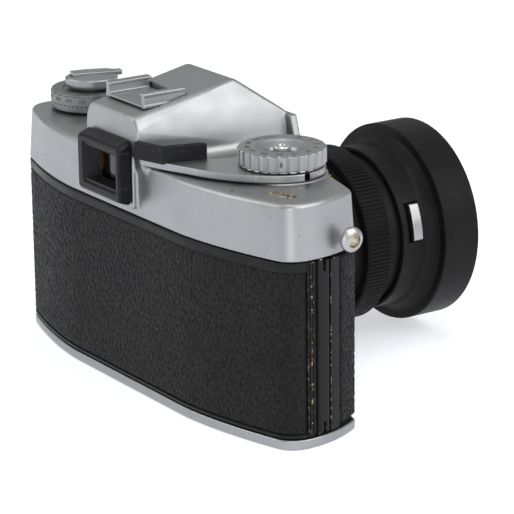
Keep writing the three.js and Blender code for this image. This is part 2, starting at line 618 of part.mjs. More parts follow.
add('iris_ring', turnedForward(ringProfile(6, 13.1, 70, 70.6), LENS.x, LENS.y, COARSE), blackPaint, lens);
add('front_element', turnedForward([[0, 84.5], [16, 84.5], [16, 89], [10, 91.4], [0, 92.2]]), glass, lens);
const rearProfile = [[0, 48.8], [12, 49.8], [14, 50.6], [14, 55], [0, 55]];
add('rear_element', turnedForward(rearProfile, LENS.x, LENS.y, COARSE), glass, lens);

// Hood: a narrow ring that clips on the barrel, a cone and a wide front ring.
const CATCH = { angle: 0.27, width: 11.6, rear: 89.7, front: 93.7 };

function catchBlock(side, clearance) {
  const width = CATCH.width + 2 * clearance;
  const length = CATCH.front - CATCH.rear + 2 * clearance;
  const block = new THREE.BoxGeometry(12, length, width).translate(side * 26, (CATCH.front + CATCH.rear) / 2, 0);
  return solid(block.rotateY(-CATCH.angle).translate(LENS.x, 0, LENS.y));
}

function lensHood() {
  const { rear, step, front, narrow, wide } = HOOD;
  const section = [[24.4, rear], [narrow, rear], [narrow, 96.5], [28.6, step], [wide, step], [wide, front],
    [wide - 1.2, front], [wide - 1.4, 100], [24.4, 97.6]];
  return turnedForward(section).subtract(catchBlock(1, GAP)).subtract(catchBlock(-1, GAP));
}
add('lens_hood', lensHood(), blackPaint, lens);
for (const [name, side] of [['hood_catch_right', 1], ['hood_catch_left', -1]]) {
  const band = turnedForward(ringProfile(24.9, 26.6, CATCH.rear, CATCH.front));
  add(name, band.intersect(catchBlock(side, 0)), brightSteel, lens);
}

// The origin is the middle of the whole object's footprint, on the surface that it stands on.
const extent = new THREE.Box3().setFromObject(camera);
const group = new THREE.Group();
group.add(camera);
camera.position.set(-(extent.min.x + extent.max.x) / 2, -(extent.min.y + extent.max.y) / 2, -extent.min.z);

export default group;
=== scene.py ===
import itertools
import math

import bmesh
import bpy
import numpy as np
from mathutils import Matrix, Vector


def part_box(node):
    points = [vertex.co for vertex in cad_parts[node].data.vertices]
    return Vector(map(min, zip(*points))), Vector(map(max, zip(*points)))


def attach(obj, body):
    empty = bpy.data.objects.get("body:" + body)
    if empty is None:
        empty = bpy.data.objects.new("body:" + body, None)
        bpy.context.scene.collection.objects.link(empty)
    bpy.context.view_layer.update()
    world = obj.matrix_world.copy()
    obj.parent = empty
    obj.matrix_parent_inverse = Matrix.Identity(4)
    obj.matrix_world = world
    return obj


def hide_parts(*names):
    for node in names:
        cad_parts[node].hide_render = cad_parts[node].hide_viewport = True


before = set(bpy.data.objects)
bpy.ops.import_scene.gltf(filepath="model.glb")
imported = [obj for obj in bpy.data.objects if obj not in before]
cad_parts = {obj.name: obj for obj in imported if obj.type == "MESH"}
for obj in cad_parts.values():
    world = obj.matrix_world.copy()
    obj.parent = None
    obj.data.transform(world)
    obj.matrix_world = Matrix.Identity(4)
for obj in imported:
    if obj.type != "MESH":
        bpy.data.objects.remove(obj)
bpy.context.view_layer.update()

# Sizes below are millimetres in the camera's own axes: x from the body's middle, y forward from the
# rear face, z up from the underside. REAR is where that rear face lies in the frame, in metres.
MM = 0.001
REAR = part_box("back_door")[0].y


def middle(node):
    """The middle of a CAD node's box, in millimetres from the rear face."""
    low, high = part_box(node)
    return ((low.x + high.x) / 2 / MM, ((low.y + high.y) / 2 - REAR) / MM, (low.z + high.z) / 2 / MM)


def low_mm(node):
    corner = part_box(node)[0]
    return corner.x / MM, (corner.y - REAR) / MM, corner.z / MM


def high_mm(node):
    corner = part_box(node)[1]
    return corner.x / MM, (corner.y - REAR) / MM, corner.z / MM


def span(node, axis):
    return low_mm(node)[axis], high_mm(node)[axis]


def half_width(node):
    low, high = span(node, 0)
    return (high - low) / 2


LENS_X, _, LENS_Z = middle("focus_ring")
DECK = 72.5
BASE_TOP = high_mm("base_plate")[2]
COVER_FOOT = low_mm("top_cover")[2]
BULGE_FRONT = high_mm("top_cover")[1]
BULGE_HALF = 24.8
HALF_WIDTH = 74
DIAL_X, DIAL_Y, _ = middle("speed_dial")
REWIND_X, REWIND_Y, _ = middle("film_speed_ring")

# ---- materials


class Nodes:
    """A material's node tree, with short calls to add nodes and join them."""

    def __init__(self, name):
        self.material = bpy.data.materials.new(name)
        self.material.use_nodes = True
        self.tree = self.material.node_tree
        self.shader = self.tree.nodes["Principled BSDF"]
        self.place = self.add("ShaderNodeTexCoord").outputs["Object"]

    def add(self, kind, **inputs):
        node = self.tree.nodes.new(kind)
        for name, value in inputs.items():
            self.feed(node, name.replace("_", " "), value)
        return node

    def feed(self, node, name, value):
        socket = node.inputs[name]
        if isinstance(value, bpy.types.NodeSocket):
            self.tree.links.new(value, socket)
        else:
            socket.default_value = value

    def set(self, **inputs):
        for name, value in inputs.items():
            self.feed(self.shader, name.replace("_", " "), value)

    def noise(self, scale, detail=3.0, roughness=0.55, place=None):
        node = self.add("ShaderNodeTexNoise", Scale=scale, Detail=detail, Roughness=roughness)
        self.feed(node, "Vector", place or self.place)
        return node.outputs["Fac"]

    def stretched(self, scale):
        node = self.add("ShaderNodeMapping", Vector=self.place, Scale=scale)
        return node.outputs["Vector"]

    def spread(self, value, low, high, to_low, to_high):
        node = self.add("ShaderNodeMapRange", Value=value)
        for name, number in (("From Min", low), ("From Max", high), ("To Min", to_low), ("To Max", to_high)):
            node.inputs[name].default_value = number
        return node.outputs["Result"]

    def uneven(self, scale, detail, to_low, to_high):
        return self.spread(self.noise(scale, detail), 0.3, 0.7, to_low, to_high)

    def mix(self, factor, first, second):
        node = self.add("ShaderNodeMix")
        node.data_type = "RGBA"
        self.feed(node, "Factor", factor)
        for index, value in ((6, first), (7, second)):
            if isinstance(value, bpy.types.NodeSocket):
                self.tree.links.new(value, node.inputs[index])
            else:
                node.inputs[index].default_value = (*value, 1)
        return node.outputs[2]

    def bump(self, height, strength, distance):
        node = self.add("ShaderNodeBump", Height=height, Strength=strength, Distance=distance)
        self.set(Normal=node.outputs["Normal"])


def satin_chrome(name, tone=0.33, roughness=0.42):
    """Bead-blasted chrome: fine grain, faint cloudy wear in colour and gloss."""
    n = Nodes(name)
    cloud = n.noise(45, 4)
    colour = n.mix(n.spread(cloud, 0.35, 0.7, 0, 1), (tone * 0.96, tone * 0.985, tone), (tone * 1.06,) * 3)
    speck = n.spread(n.noise(900, 1), 0.72, 0.78, 0, 0.5)
    n.set(Base_Color=n.mix(speck, colour, (tone * 0.45,) * 3), Metallic=1.0)
    n.set(Roughness=n.uneven(160, 3, roughness - 0.04, roughness + 0.05))
    n.bump(n.noise(5200, 2), 0.12, 0.00004)
    return n.material


def polished_steel(name, tone=0.6, roughness=0.2):
    n = Nodes(name)
    n.set(Base_Color=n.mix(n.noise(300, 3), (tone,) * 3, (tone * 0.85, tone * 0.84, tone * 0.82)))
    n.set(Metallic=1.0, Roughness=n.spread(n.noise(700, 3), 0.35, 0.7, roughness, roughness + 0.14))
    n.bump(n.noise(2500, 2), 0.06, 0.00003)
    return n.material


def enamel(name, tone=0.009, roughness=0.42, grain=0.1):
    """Black paint or anodising with a fine grain and a slight bloom of dust."""
    n = Nodes(name)
    dust = n.spread(n.noise(220, 5), 0.45, 0.8, 0, 0.5)
    n.set(Base_Color=n.mix(dust, (tone,) * 3, (tone * 2.2, tone * 2.15, tone * 2.05)))
    n.set(Roughness=n.uneven(90, 4, roughness - 0.05, roughness + 0.08))
    n.set(Specular_IOR_Level=0.1)
    n.bump(n.noise(4200, 2), grain, 0.00004)
    return n.material


def worn_enamel(name, tone=0.009, roughness=0.36):
    """Black enamel that is chipped to bare brass here and there along its sharp edges."""
    n = Nodes(name)
    edge = n.spread(n.add("ShaderNodeNewGeometry").outputs["Pointiness"], 0.53, 0.56, 0, 1)
    chips = n.spread(n.noise(650, 4, 0.7), 0.56, 0.6, 0, 1)
    worn = n.add("ShaderNodeMath")
    worn.operation = "MULTIPLY"
    n.tree.links.new(edge, worn.inputs[0])
    n.tree.links.new(chips, worn.inputs[1])
    worn = worn.outputs["Value"]
    n.set(Base_Color=n.mix(worn, (tone,) * 3, (0.42, 0.36, 0.24)), Metallic=worn)
    n.set(Roughness=n.uneven(120, 4, roughness - 0.05, roughness + 0.1))
    n.set(Specular_IOR_Level=0.14)
    n.bump(n.noise(3000, 3), 0.12, 0.00004)
    return n.material


def gloss_plastic(name, tone=0.01, roughness=0.16):
    n = Nodes(name)
    scuff = n.spread(n.noise(1, 4, place=n.stretched((900, 120, 900))), 0.55, 0.75, 0, 1)
    n.set(Base_Color=n.mix(scuff, (tone, tone, tone * 1.1), (tone * 2.6,) * 3))
    n.set(Roughness=n.uneven(150, 4, roughness, roughness + 0.14), Specular_IOR_Level=0.12)
    n.bump(n.noise(600, 3), 0.05, 0.00005)
    return n.material


def leather_finish(name, tone=0.009):
    """Dark pebbled leather: the large grain is in the mesh, the fine grain is here, with painted shade in its
    creases.
    """
    n = Nodes(name)
    patch = n.noise(60, 4)
    pale = (tone * 1.6, tone * 1.58, tone * 1.52)
    colour = n.mix(n.spread(patch, 0.35, 0.7, 0, 1), (tone, tone, tone * 0.98), pale)
    cell = n.add("ShaderNodeTexVoronoi", Scale=1.0, Vector=n.stretched((1500, 1500, 900)))
    crease = n.spread(cell.outputs["Distance"], 0.2, 0.75, 0, 1)
    # The creases are also painted darker: painted shade in the valleys of the fine grain.
    n.set(Base_Color=n.mix(crease, colour, (tone * 0.55,) * 3))
    n.set(Roughness=n.spread(crease, 0, 1, 0.42, 0.7), Specular_IOR_Level=0.14)
    n.bump(n.spread(crease, 0, 1, 1, 0), 0.5, 0.00008)
    return n.material


def clear_glass(name, colour=(0.8, 0.86, 0.9), rough=0.02):
    n = Nodes(name)
    n.set(Base_Color=(*colour, 1), Roughness=rough, IOR=1.5, Transmission_Weight=1.0)
    n.bump(n.noise(120, 2), 0.02, 0.00002)
    return n.material


def worn_brass(name):
    """Nickel plating worn through in the middle to brown brass."""
    n = Nodes(name)
    patch = n.spread(n.noise(420, 5, 0.65), 0.47, 0.6, 0, 1)
    brown = n.mix(n.noise(1400, 3), (0.26, 0.15, 0.04), (0.06, 0.035, 0.02))
    n.set(Base_Color=n.mix(patch, (0.4, 0.39, 0.33), brown), Metallic=0.8)
    n.set(Roughness=n.spread(patch, 0, 1, 0.25, 0.6))
    n.bump(n.noise(900, 4), 0.3, 0.0001)
    return n.material


def paint(name, colour, roughness=0.5):
    n = Nodes(name)
    n.set(Base_Color=n.mix(n.noise(800, 3), colour, tuple(c * 0.8 for c in colour)), Roughness=roughness)
    return n.material


CHROME = satin_chrome("satin_chrome")
# A darker copy of the satin chrome, for the film-speed ring: its lower tone is painted shade.
CHROME_SHADED = satin_chrome("satin_chrome_shaded", 0.22, 0.42)
STEEL = polished_steel("polished_steel")
DARK_STEEL = polished_steel("dark_steel", 0.12, 0.3)
LUG_STEEL = polished_steel("lug_steel", 0.42, 0.3)
ENAMEL = enamel("black_enamel")
DOOR_BLACK = enamel("door_black", 0.012, 0.32)
HINGE_BLACK = worn_enamel("hinge_black")
LENS_BLACK = enamel("lens_black", 0.007, 0.42, 0.16)
INNER_BLACK = enamel("inner_black", 0.006, 0.8)
PLASTIC = gloss_plastic("black_plastic")
LEATHER = leather_finish("leather")
GLASS = clear_glass("clear_glass")
AMBER = clear_glass("amber_glass", (0.42, 0.22, 0.06), 0.08)
BRASS = worn_brass("worn_brass")
CLOTH = enamel("shutter_cloth", 0.01, 0.9, 0.4)
MIRROR = polished_steel("front_silvered", 0.85, 0.03)
MARK_BLACK = paint("mark_black", (0.012, 0.012, 0.012))
MARK_WHITE = paint("mark_white", (0.75, 0.75, 0.72))
MARK_YELLOW = paint("mark_yellow", (0.55, 0.42, 0.02))
COATED = clear_glass("coated_glass", (0.55, 0.5, 0.62), 0.01)
YELLOWED = clear_glass("yellowed_glass", (0.86, 0.8, 0.55), 0.12)
# The slot of each material whose slot isn't called by the material's own name.
SLOTS = {
    "satin_chrome_shaded": "satin_chrome", "polished_steel": "bright_steel", "lug_steel": "bright_steel",
    "leather": "body_leather", "coated_glass": "clear_glass", "yellowed_glass": "clear_glass",
    **dict.fromkeys(("door_black", "hinge_black", "lens_black"), "black_enamel"),
    **dict.fromkeys(("mark_black", "mark_white", "mark_yellow"), "black_enamel"),
}

# ---- pieces


def linked(name, data):
    obj = bpy.data.objects.new(name, data)
    bpy.context.scene.collection.objects.link(obj)
    return obj


def piece(name, vertices, faces, material, body="camera_body", node=None, normals=None, slot=None):
    """Makes a mesh object from points in millimetres, ties it to its body and hides the node it stands for.
    """
    mesh = bpy.data.meshes.new(name)
    points = np.asarray(vertices, float) * MM
    points[:, 1] += REAR
    faces = faces.tolist() if isinstance(faces, np.ndarray) else faces
    mesh.from_pydata(points.tolist(), [], faces)
    mesh.polygons.foreach_set("use_smooth", [True] * len(mesh.polygons))
    mesh.update()
    obj = linked(name, mesh)
    mesh.materials.append(material)
    if normals is None:
        tidy = bmesh.new()
        tidy.from_mesh(mesh)
        bmesh.ops.remove_doubles(tidy, verts=tidy.verts, dist=1e-7)
        bmesh.ops.recalc_face_normals(tidy, faces=tidy.faces)
        tidy.to_mesh(mesh)
        tidy.free()
        weighted = obj.modifiers.new("weighted", "WEIGHTED_NORMAL")
        weighted.weight = 90
        weighted.keep_sharp = True
        mesh.set_sharp_from_angle(angle=math.radians(50))
    else:
        mesh.normals_split_custom_set_from_vertices(normals.tolist())
    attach(obj, body)
    if node:
        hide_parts(node)
    return obj


# Distance fields: negative inside. Edges are rounded to a real radius where two fields meet.


def both(fields, radius=0.0):
    """Where all fields overlap, with outside corners rounded to the radius."""
    fields = np.broadcast_arrays(*fields)
    highest = np.maximum.reduce(fields)
    if radius <= 0:
        return highest
    over = np.sqrt(sum(np.maximum(f + radius, 0) ** 2 for f in fields))
    return np.minimum(highest, -radius) + over


def either(fields, radius=0.0):
    """All fields joined, with inside corners filleted to the radius."""
    return -both([-f for f in fields], radius)


def cut(solid, *tools, radius=0.0):
    for tool in tools:
        solid = both([solid, -tool], radius)
    return solid


def block(x, y, z, low, high, radius=0.0):
    sides = [abs(value - (a + b) / 2) - (b - a) / 2 for value, a, b in zip((x, y, z), low, high)]
    return both(sides, radius)


def rod(u, v, centre_u, centre_v, radius):
    return np.hypot(u - centre_u, v - centre_v) - radius


def between(value, low, high):
    return abs(value - (low + high) / 2) - (high - low) / 2


def polygon(x, y, points):
    """Signed distance in the plane to a closed counter-clockwise outline."""
    shape = np.broadcast(x, y).shape
    px, py = (np.broadcast_to(a, shape).reshape(-1, 1) for a in (x, y))
    points = np.asarray(points, float)
    start, step = points, np.roll(points, -1, axis=0) - points
    result = np.empty(len(px))
    for first in range(0, len(px), 20000):
        rows = slice(first, first + 20000)
        dx, dy = px[rows] - start[:, 0], py[rows] - start[:, 1]
        along = np.clip((dx * step[:, 0] + dy * step[:, 1]) / (step ** 2).sum(1), 0, 1)
        gap = (dx - along * step[:, 0]) ** 2 + (dy - along * step[:, 1]) ** 2
        rises = (dy >= 0) & (dy < step[:, 1])
        falls = (dy < 0) & (dy >= step[:, 1])
        side = step[:, 0] * dy - step[:, 1] * dx
        winding = (rises & (side > 0)).sum(1) - (falls & (side < 0)).sum(1)
        result[rows] = np.sqrt(gap.min(1)) * np.where(winding != 0, -1, 1)
    return result.reshape(shape)


def bezier(p0, p1, p2, p3, count):
    t = np.linspace(0, 1, count, endpoint=False)[:, None]
    points = [np.asarray(p, float) for p in (p0, p1, p2, p3)]
    return (1 - t) ** 3 * points[0] + 3 * t * (1 - t) ** 2 * points[1] + 3 * t * t * (1 - t) * points[2] \
        + t ** 3 * points[3]


def bend(p0, control, p1, count):
    p0, control, p1 = (np.asarray(p, float) for p in (p0, control, p1))
    return bezier(p0, p0 + (control - p0) * 2 / 3, p1 + (control - p1) * 2 / 3, p1, count)


def wrap_run(count=24):
    """The body's plan from the left front corner round the rear to the right front corner."""
    half = [
        np.array([[0.0, 0.0]]),
        bezier((30, 0), (42, 0.4), (56, 3.4), (68.6, 7.4), count),
        bend((68.6, 7.4), (73.3, 8.9), (HALF_WIDTH, 14.8), count),
        bend((HALF_WIDTH, 14.8), (74.6, 24.2), (69.1, 34), count),
        np.array([[69.1, 34.0]]),
    ]
    right = np.concatenate(half)
    left = right[1:][::-1] * (-1, 1)
    return np.concatenate([left, right])


def front_half(side, outer, inner, count=16):
    """The front outline from one end to the bulge round the lens; outer and inner steer the long curve."""
    edge, flank = LENS_X + side * BULGE_HALF, LENS_X + side * 34
    return [
        bend((side * 69.1, 34), (side * 68.6, 35.2), (side * 67, 35.4), 5),
        bezier((side * 67, 35.4), (side * outer, 37.3), (side * inner, 39.1), (flank, 39.4), count),
        bend((flank, 39.4), (edge, 39.6), (edge, 45.5), count),
        bend((edge, 45.5), (edge, BULGE_FRONT), (LENS_X + side * 20, BULGE_FRONT), count),
    ]


def front_run():
    right = np.concatenate(front_half(1, 58, 46))
    left = np.concatenate([*front_half(-1, 59, 48), [[LENS_X - 20, BULGE_FRONT]]])
    return np.concatenate([right[1:], left[1:][::-1]])


PLAN = np.concatenate([wrap_run(), front_run()])


GRID = 0.25
GRID_X = np.arange(-80, 80.1, GRID)
GRID_Y = np.arange(-10, 58.1, GRID)
PLAN_TABLE = polygon(GRID_X[:, None], GRID_Y[None, :], PLAN)


def plan(x, y):
    """Distance to the body's outline, looked up between the points of a fine grid."""
    u = np.clip((x - GRID_X[0]) / GRID, 0, len(GRID_X) - 1.001)
    v = np.clip((y - GRID_Y[0]) / GRID, 0, len(GRID_Y) - 1.001)
    i, j = u.astype(int), v.astype(int)
    u, v = u - i, v - j
    low = PLAN_TABLE[i, j] * (1 - u) + PLAN_TABLE[i + 1, j] * u
    high = PLAN_TABLE[i, j + 1] * (1 - u) + PLAN_TABLE[i + 1, j + 1] * u
    return low * (1 - v) + high * v


def carve(name, field, step, material, body="camera_body", node=None, low=None, high=None):
    """
    Turns a distance field into a mesh: one point per crossed cell, then drawn onto the true surface.
    Where low and high aren't given, it looks in the box of the node that the piece replaces.
    """
    low, high = low or low_mm(node), high or high_mm(node)
    axes = [np.arange(a - 1.5 * step, b + 1.6 * step, step) for a, b in zip(low, high)]
    x, y, z = np.meshgrid(*axes, indexing="ij", sparse=True)
    values = np.broadcast_to(field(x, y, z), [len(a) for a in axes]).copy()
    inside = values < 0
    corners = [(i, j, k) for i in (0, 1) for j in (0, 1) for k in (0, 1)]
    size = [n - 1 for n in inside.shape]

    def corner(array, offset):
        return array[tuple(slice(o, o + n) for o, n in zip(offset, size))]

    filled = sum(corner(inside, c).astype(np.int8) for c in corners)
    active = (filled > 0) & (filled < 8)
    cells = np.argwhere(active)
    number = np.full(size, -1, np.int64)
    number[active] = np.arange(len(cells))
    total = np.zeros((len(cells), 3))
    hits = np.zeros(len(cells))
    for a in corners:
        for axis in range(3):
            if a[axis]:
                continue
            b = tuple(1 if n == axis else v for n, v in enumerate(a))
            va, vb = corner(values, a)[active], corner(values, b)[active]
            crossed = (va < 0) != (vb < 0)
            share = np.where(crossed, va / np.where(crossed, va - vb, 1), 0)
            spot = np.array(a, float) + share[:, None] * (np.array(b) - np.array(a))
            total += np.where(crossed[:, None], spot, 0)
            hits += crossed
    points = np.array([a[0] for a in axes]) + (cells + total / hits[:, None]) * step
    faces = []
    for axis in range(3):
        u, v = (axis + 1) % 3, (axis + 2) % 3
        here = [slice(1, n) for n in size]
        there = list(here)
        here[axis] = slice(0, size[axis])
        there[axis] = slice(1, size[axis] + 1)
        a, b = inside[tuple(here)], inside[tuple(there)]
        for keep, order in ((a & ~b, 1), (b & ~a, -1)):
            spots = np.argwhere(keep)
            for k, n in enumerate(spots.T):
                spots[:, k] = n + (0 if k == axis else 1)
            ring = []
            for du, dv in ((-1, -1), (0, -1), (0, 0), (-1, 0)):
                shifted = spots.copy()
                shifted[:, u] += du
                shifted[:, v] += dv
                ring.append(number[tuple(shifted.T)])
            faces.append(np.stack(ring, 1)[:, ::order])
    faces = np.concatenate(faces)
    nudge = step * 0.1

    def slopes(p):
        return np.stack([field(*(p.T + nudge * e[:, None])) - field(*(p.T - nudge * e[:, None]))
                         for e in np.eye(3)], 1) / (2 * nudge)

    for _ in range(3):
        value, slope = field(*points.T), slopes(points)
        move = -value[:, None] * slope / np.maximum((slope ** 2).sum(1), 0.2)[:, None]
        length = np.linalg.norm(move, axis=1, keepdims=True)
        points = points + move * np.minimum(1, 0.4 * step / np.maximum(length, 1e-9))
    normals = slopes(points)
    normals /= np.maximum(np.linalg.norm(normals, axis=1, keepdims=True), 1e-9)
    return piece(name, points, faces, material, body, node, normals)


# Turned shapes: a closed outline of (radius, height) pairs swept round an axis.


def eased(outline, radius, steps=3):
    """Rounds every corner of a closed outline that isn't on the axis."""
    outline = [np.asarray(p, float) for p in outline]
    result = []
    for before, corner, after in zip(outline[-1:] + outline[:-1], outline, outline[1:] + outline[:1]):
        if corner[0] < 1e-6:
            result.append(corner)
            continue
        ends = []
        for other in (before, after):
            run = other - corner
            length = np.linalg.norm(run)
            ends.append(corner + run / length * min(radius, 0.42 * length))
        for t in np.linspace(0, 1, steps + 1):
            result.append((1 - t) ** 2 * ends[0] + 2 * t * (1 - t) * corner + t * t * ends[1])
    return result


def forward_at(x, z):
    return lambda r, h, angle: (x + r * np.cos(angle), h, z + r * np.sin(angle))


def upward_at(x, y):
    return lambda r, h, angle: (x + r * np.cos(angle), y + r * np.sin(angle), h)


forward = forward_at(LENS_X, LENS_Z)
dial_axis = upward_at(DIAL_X, DIAL_Y)
rewind_axis = upward_at(REWIND_X, REWIND_Y)
counter_axis = upward_at(*middle("counter_disc")[:2])


def turned(name, outline, place, *labels, segments=192, shape=None, **options):
    """Sweeps an outline round its axis; shape(r, h, angle) may change the radius, for ribs and flutes."""
    outline = np.array(outline)
    angle = np.linspace(0, 2 * math.pi, segments, endpoint=False)[:, None]
    r, h = outline[:, 0][None, :], outline[:, 1][None, :]
    radius = shape(r, h, angle) if shape else r
    x, y, z = np.broadcast_arrays(*place(radius, h, angle))
    points = np.stack([x, y, z], 2).reshape(-1, 3)
    count = len(outline)
    faces = []
    for i in range(segments):
        a, b = i * count, (i + 1) % segments * count
        for j in range(count):
            k = (j + 1) % count
            if outline[j][0] < 1e-6 and outline[k][0] < 1e-6:
                continue
            faces.append([a + j, b + j, b + k, a + k])
    return piece(name, points, faces, *labels, **options)


def ribs(count, depth, low, high, sharpness=3.0):
    """A radius rule that cuts evenly spaced grooves into the outermost skin between two heights."""
    def shape(r, h, angle):
        wave = 0.5 + 0.5 * np.cos(angle * count)
        groove = depth * wave ** sharpness
        return r - groove * ((h > low) & (h < high) & (r > 0.9 * r.max()))
    return shape


MARK_LIFT, MARK_SINK = 0.03, 0.05    # how far painted marks stand out of their surface, and go into it


def lettering(name, marks, place, material, body):
    """Numbers as thin solid figures. marks: (text, size, u, v); place(u, v, height) gives the point."""
    points, faces = [], []
    for text, size, u, v in marks:
        curve = bpy.data.curves.new("figure", "FONT")
        curve.body = text
        curve.size = size
        curve.align_x, curve.align_y = "CENTER", "CENTER"
        curve.extrude = 0.5
        curve.resolution_u = 2
        figure = bpy.data.objects.new("figure", curve)
        mesh = bpy.data.meshes.new_from_object(figure)
        base = len(points)
        for vertex in mesh.vertices:
            height = MARK_LIFT if vertex.co.z > 0 else -MARK_SINK
            points.append(place(u + vertex.co.x, v + vertex.co.y, height))
        faces += [[base + n for n in polygon.vertices] for polygon in mesh.polygons]
        bpy.data.objects.remove(figure)
        bpy.data.curves.remove(curve)
        bpy.data.meshes.remove(mesh)
    return piece(name, points, faces, material, body)


def strokes(name, marks, place, material, body):
    """Short painted lines: (u, v, width, height) rectangles laid on a surface."""
    points, faces = [], []
    for u, v, width, height in marks:
        base = len(points)
        for h in (-MARK_SINK, MARK_LIFT):
            for du, dv in ((-1, -1), (1, -1), (1, 1), (-1, 1)):
                points.append(place(u + du * width / 2, v + dv * height / 2, h))
        faces += [[base + n for n in face] for face in
                  ((3, 2, 1, 0), (4, 5, 6, 7), (0, 1, 5, 4), (1, 2, 6, 5), (2, 3, 7, 6), (3, 0, 4, 7))]
    return piece(name, points, faces, material, body)


def wrapped(axis, radius):
    """Puts flat marks on a round wall: u runs round it, v along its axis."""
    return lambda u, v, height: axis(radius + height, v, u / radius)


def on_disc(axis, radius, top):
    """Puts flat marks on a disc's rim, read from its outside: u runs round it, v outward."""
    return lambda u, v, height: axis(radius - v, top + height, -u / radius)


# ---- top cover


HOUSING = [(11.9, -2, 86.5), (12.7, 33.2, 93.4), (14.5, -2, 82.6), (18.6, 48.6, 82.1), (15, -2, 71),
           (20.3, BULGE_FRONT, 71)]
COVER_WALL = 1.3
END_DRAFT = 0.085        # how much the end walls lean in, per millimetre of height
ROOF_FRONT = HOUSING[1][2]
SHOE_LOW, SHOE_HIGH = low_mm("accessory_shoe"), high_mm("accessory_shoe")
SHOE_HALF = (SHOE_HIGH[0] - SHOE_LOW[0]) / 2


def facets(points):
    """The outward planes of the closed form on mirrored points, those that look alike put together."""
    corners = np.array([[side * half, y, z] for half, y, z in points for side in (1, -1)], float)
    groups = []
    for a, b, c in itertools.combinations(corners, 3):
        normal = np.cross(b - a, c - a)
        length = np.linalg.norm(normal)
        for n in (normal, -normal) if length > 1e-6 else ():
            n = n / length
            if n[0] < -1e-6 or ((corners - a) @ n).max() > 1e-6:
                continue
            close = [g for g in groups if max(m @ n for m, _ in g) > 0.97]
            if not close:
                groups.append([(n, n @ a)])
            elif max(m @ n for m, _ in close[0]) < 1 - 1e-7:
                close[0].append((n, n @ a))
    return groups


HOUSING_FACETS = facets(HOUSING)


def housing(x, y, z, radius):
    side = abs(x - LENS_X)
    fields = []
    for group in HOUSING_FACETS:
        fields.append(np.maximum.reduce([n[0] * side + n[1] * y + n[2] * z - d for n, d in group]))
    return both(fields, radius)


def capsule(x, y, start, end, radius):
    """Distance in the plane to a slot with round ends."""
    run = np.subtract(end, start)
    t = np.clip(((x - start[0]) * run[0] + (y - start[1]) * run[1]) / (run @ run), 0, 1)
    return np.hypot(x - start[0] - t * run[0], y - start[1] - t * run[1]) - radius


COUNTER_SLOT = ((58.6, 13.3), (64.4, 15.5))
SOCKETS = [middle("flash_socket_1"), middle("flash_socket_2")]


def top_cover(x, y, z):
    side = abs(x - LENS_X)
    outline = plan(x, y) + END_DRAFT * (z - COVER_FOOT) * np.clip((abs(x) - 52) / 20, 0, 1)
    deck = both([both([outline, z - DECK], 1.5), COVER_FOOT - z], 0.4)
    set_back = 0.4 * np.maximum(0, 76 - z) - 2
    raised = both([housing(x, y, z, 1.1), set_back - y], 0.4)
    pad = block(side, y, z, (-1, -2, 58.5), (11.2, 3, 75), 0.8)
    plate_half = 24 - (z - 72) * 0.3
    plate = both([side - plate_half, z - 81.6, between(y, 47.4, BULGE_FRONT)], 0.8)
    cover = either([deck, raised], 3.2)
    cover = either([cover, plate], 0.5)
    cover = either([cover, pad], 0.8)
    collar = both([rod(x, y, DIAL_X, DIAL_Y, 13.3), z - DECK - 0.45, DECK - 2 - z], 0.3)
    cover = either([cover, collar], 0.4)
    cover = both([cover, y - BULGE_FRONT, -2 - y], 0.5)
    cavity = both([outline + COVER_WALL, z - DECK + COVER_WALL], 0.8)
    shoe_pocket = block(side, y, z, (-1, -9, 86.2), (12.5, 19.5, 99))
    inner_roof = cut(housing(x, y, z, 0.8) + COVER_WALL + 0.1, shoe_pocket)
    cavity = either([cavity, inner_roof], 0.8)
    shoe_half, shoe_front = SHOE_HALF + 0.35, SHOE_HIGH[1] + 0.35
    holes = [
        rod(x, y, DIAL_X, DIAL_Y, 4.5) + 0 * z,
        both([rod(x, y, REWIND_X, REWIND_Y, 3.7), 60 - z]),
        both([capsule(x, y, *COUNTER_SLOT, 1.75), 60 - z]),
        block(side, y, z, (-1, -5, 63.5), (8, 5, 75), 0.6),
        block(side, y, z, (-1, SHOE_LOW[1] - 1, SHOE_LOW[2] - 0.3), (shoe_half, shoe_front, 99)),
    ]
    holes += [both([rod(x, z, sx, sz, 2.4), 30 - y]) for sx, _, sz in SOCKETS]
    return cut(cut(cover, cavity), *holes, radius=0.25)


carve("top_cover_shell", top_cover, 0.5, CHROME, node="top_cover", low=(-75, -2, COVER_FOOT),
      high=(75, BULGE_FRONT, ROOF_FRONT))

# ---- accessory shoe

SHEET = 0.8


def shoe(x, y, z):
    side = abs(x - LENS_X)
    low, high = SHOE_LOW[2], SHOE_HIGH[2]
    floor = both([side - SHOE_HALF, between(z, low, low + SHEET)], 0.2)
    wall = both([between(side, SHOE_HALF - 1.5, SHOE_HALF), low - z, z - high], 0.25)
    lip = both([between(side, SHOE_HALF - 2.6, SHOE_HALF), between(z, high - SHEET, high)], 0.25)
    result = either([floor, wall, lip], 0.4)
    return both([result, between(y, SHOE_LOW[1], SHOE_HIGH[1])], 0.25)


carve("shoe_rails", shoe, 0.22, CHROME, node="accessory_shoe")

# ---- eyepiece


def taper(value, start, end, a, b):
    """a at start, b at end, and a straight run between."""
    return a + (b - a) * (value - start) / (end - start)


EYE_X = middle("eyepiece_frame")[0]
EYE_REAR, EYE_FOOT = span("eyepiece_frame", 1)


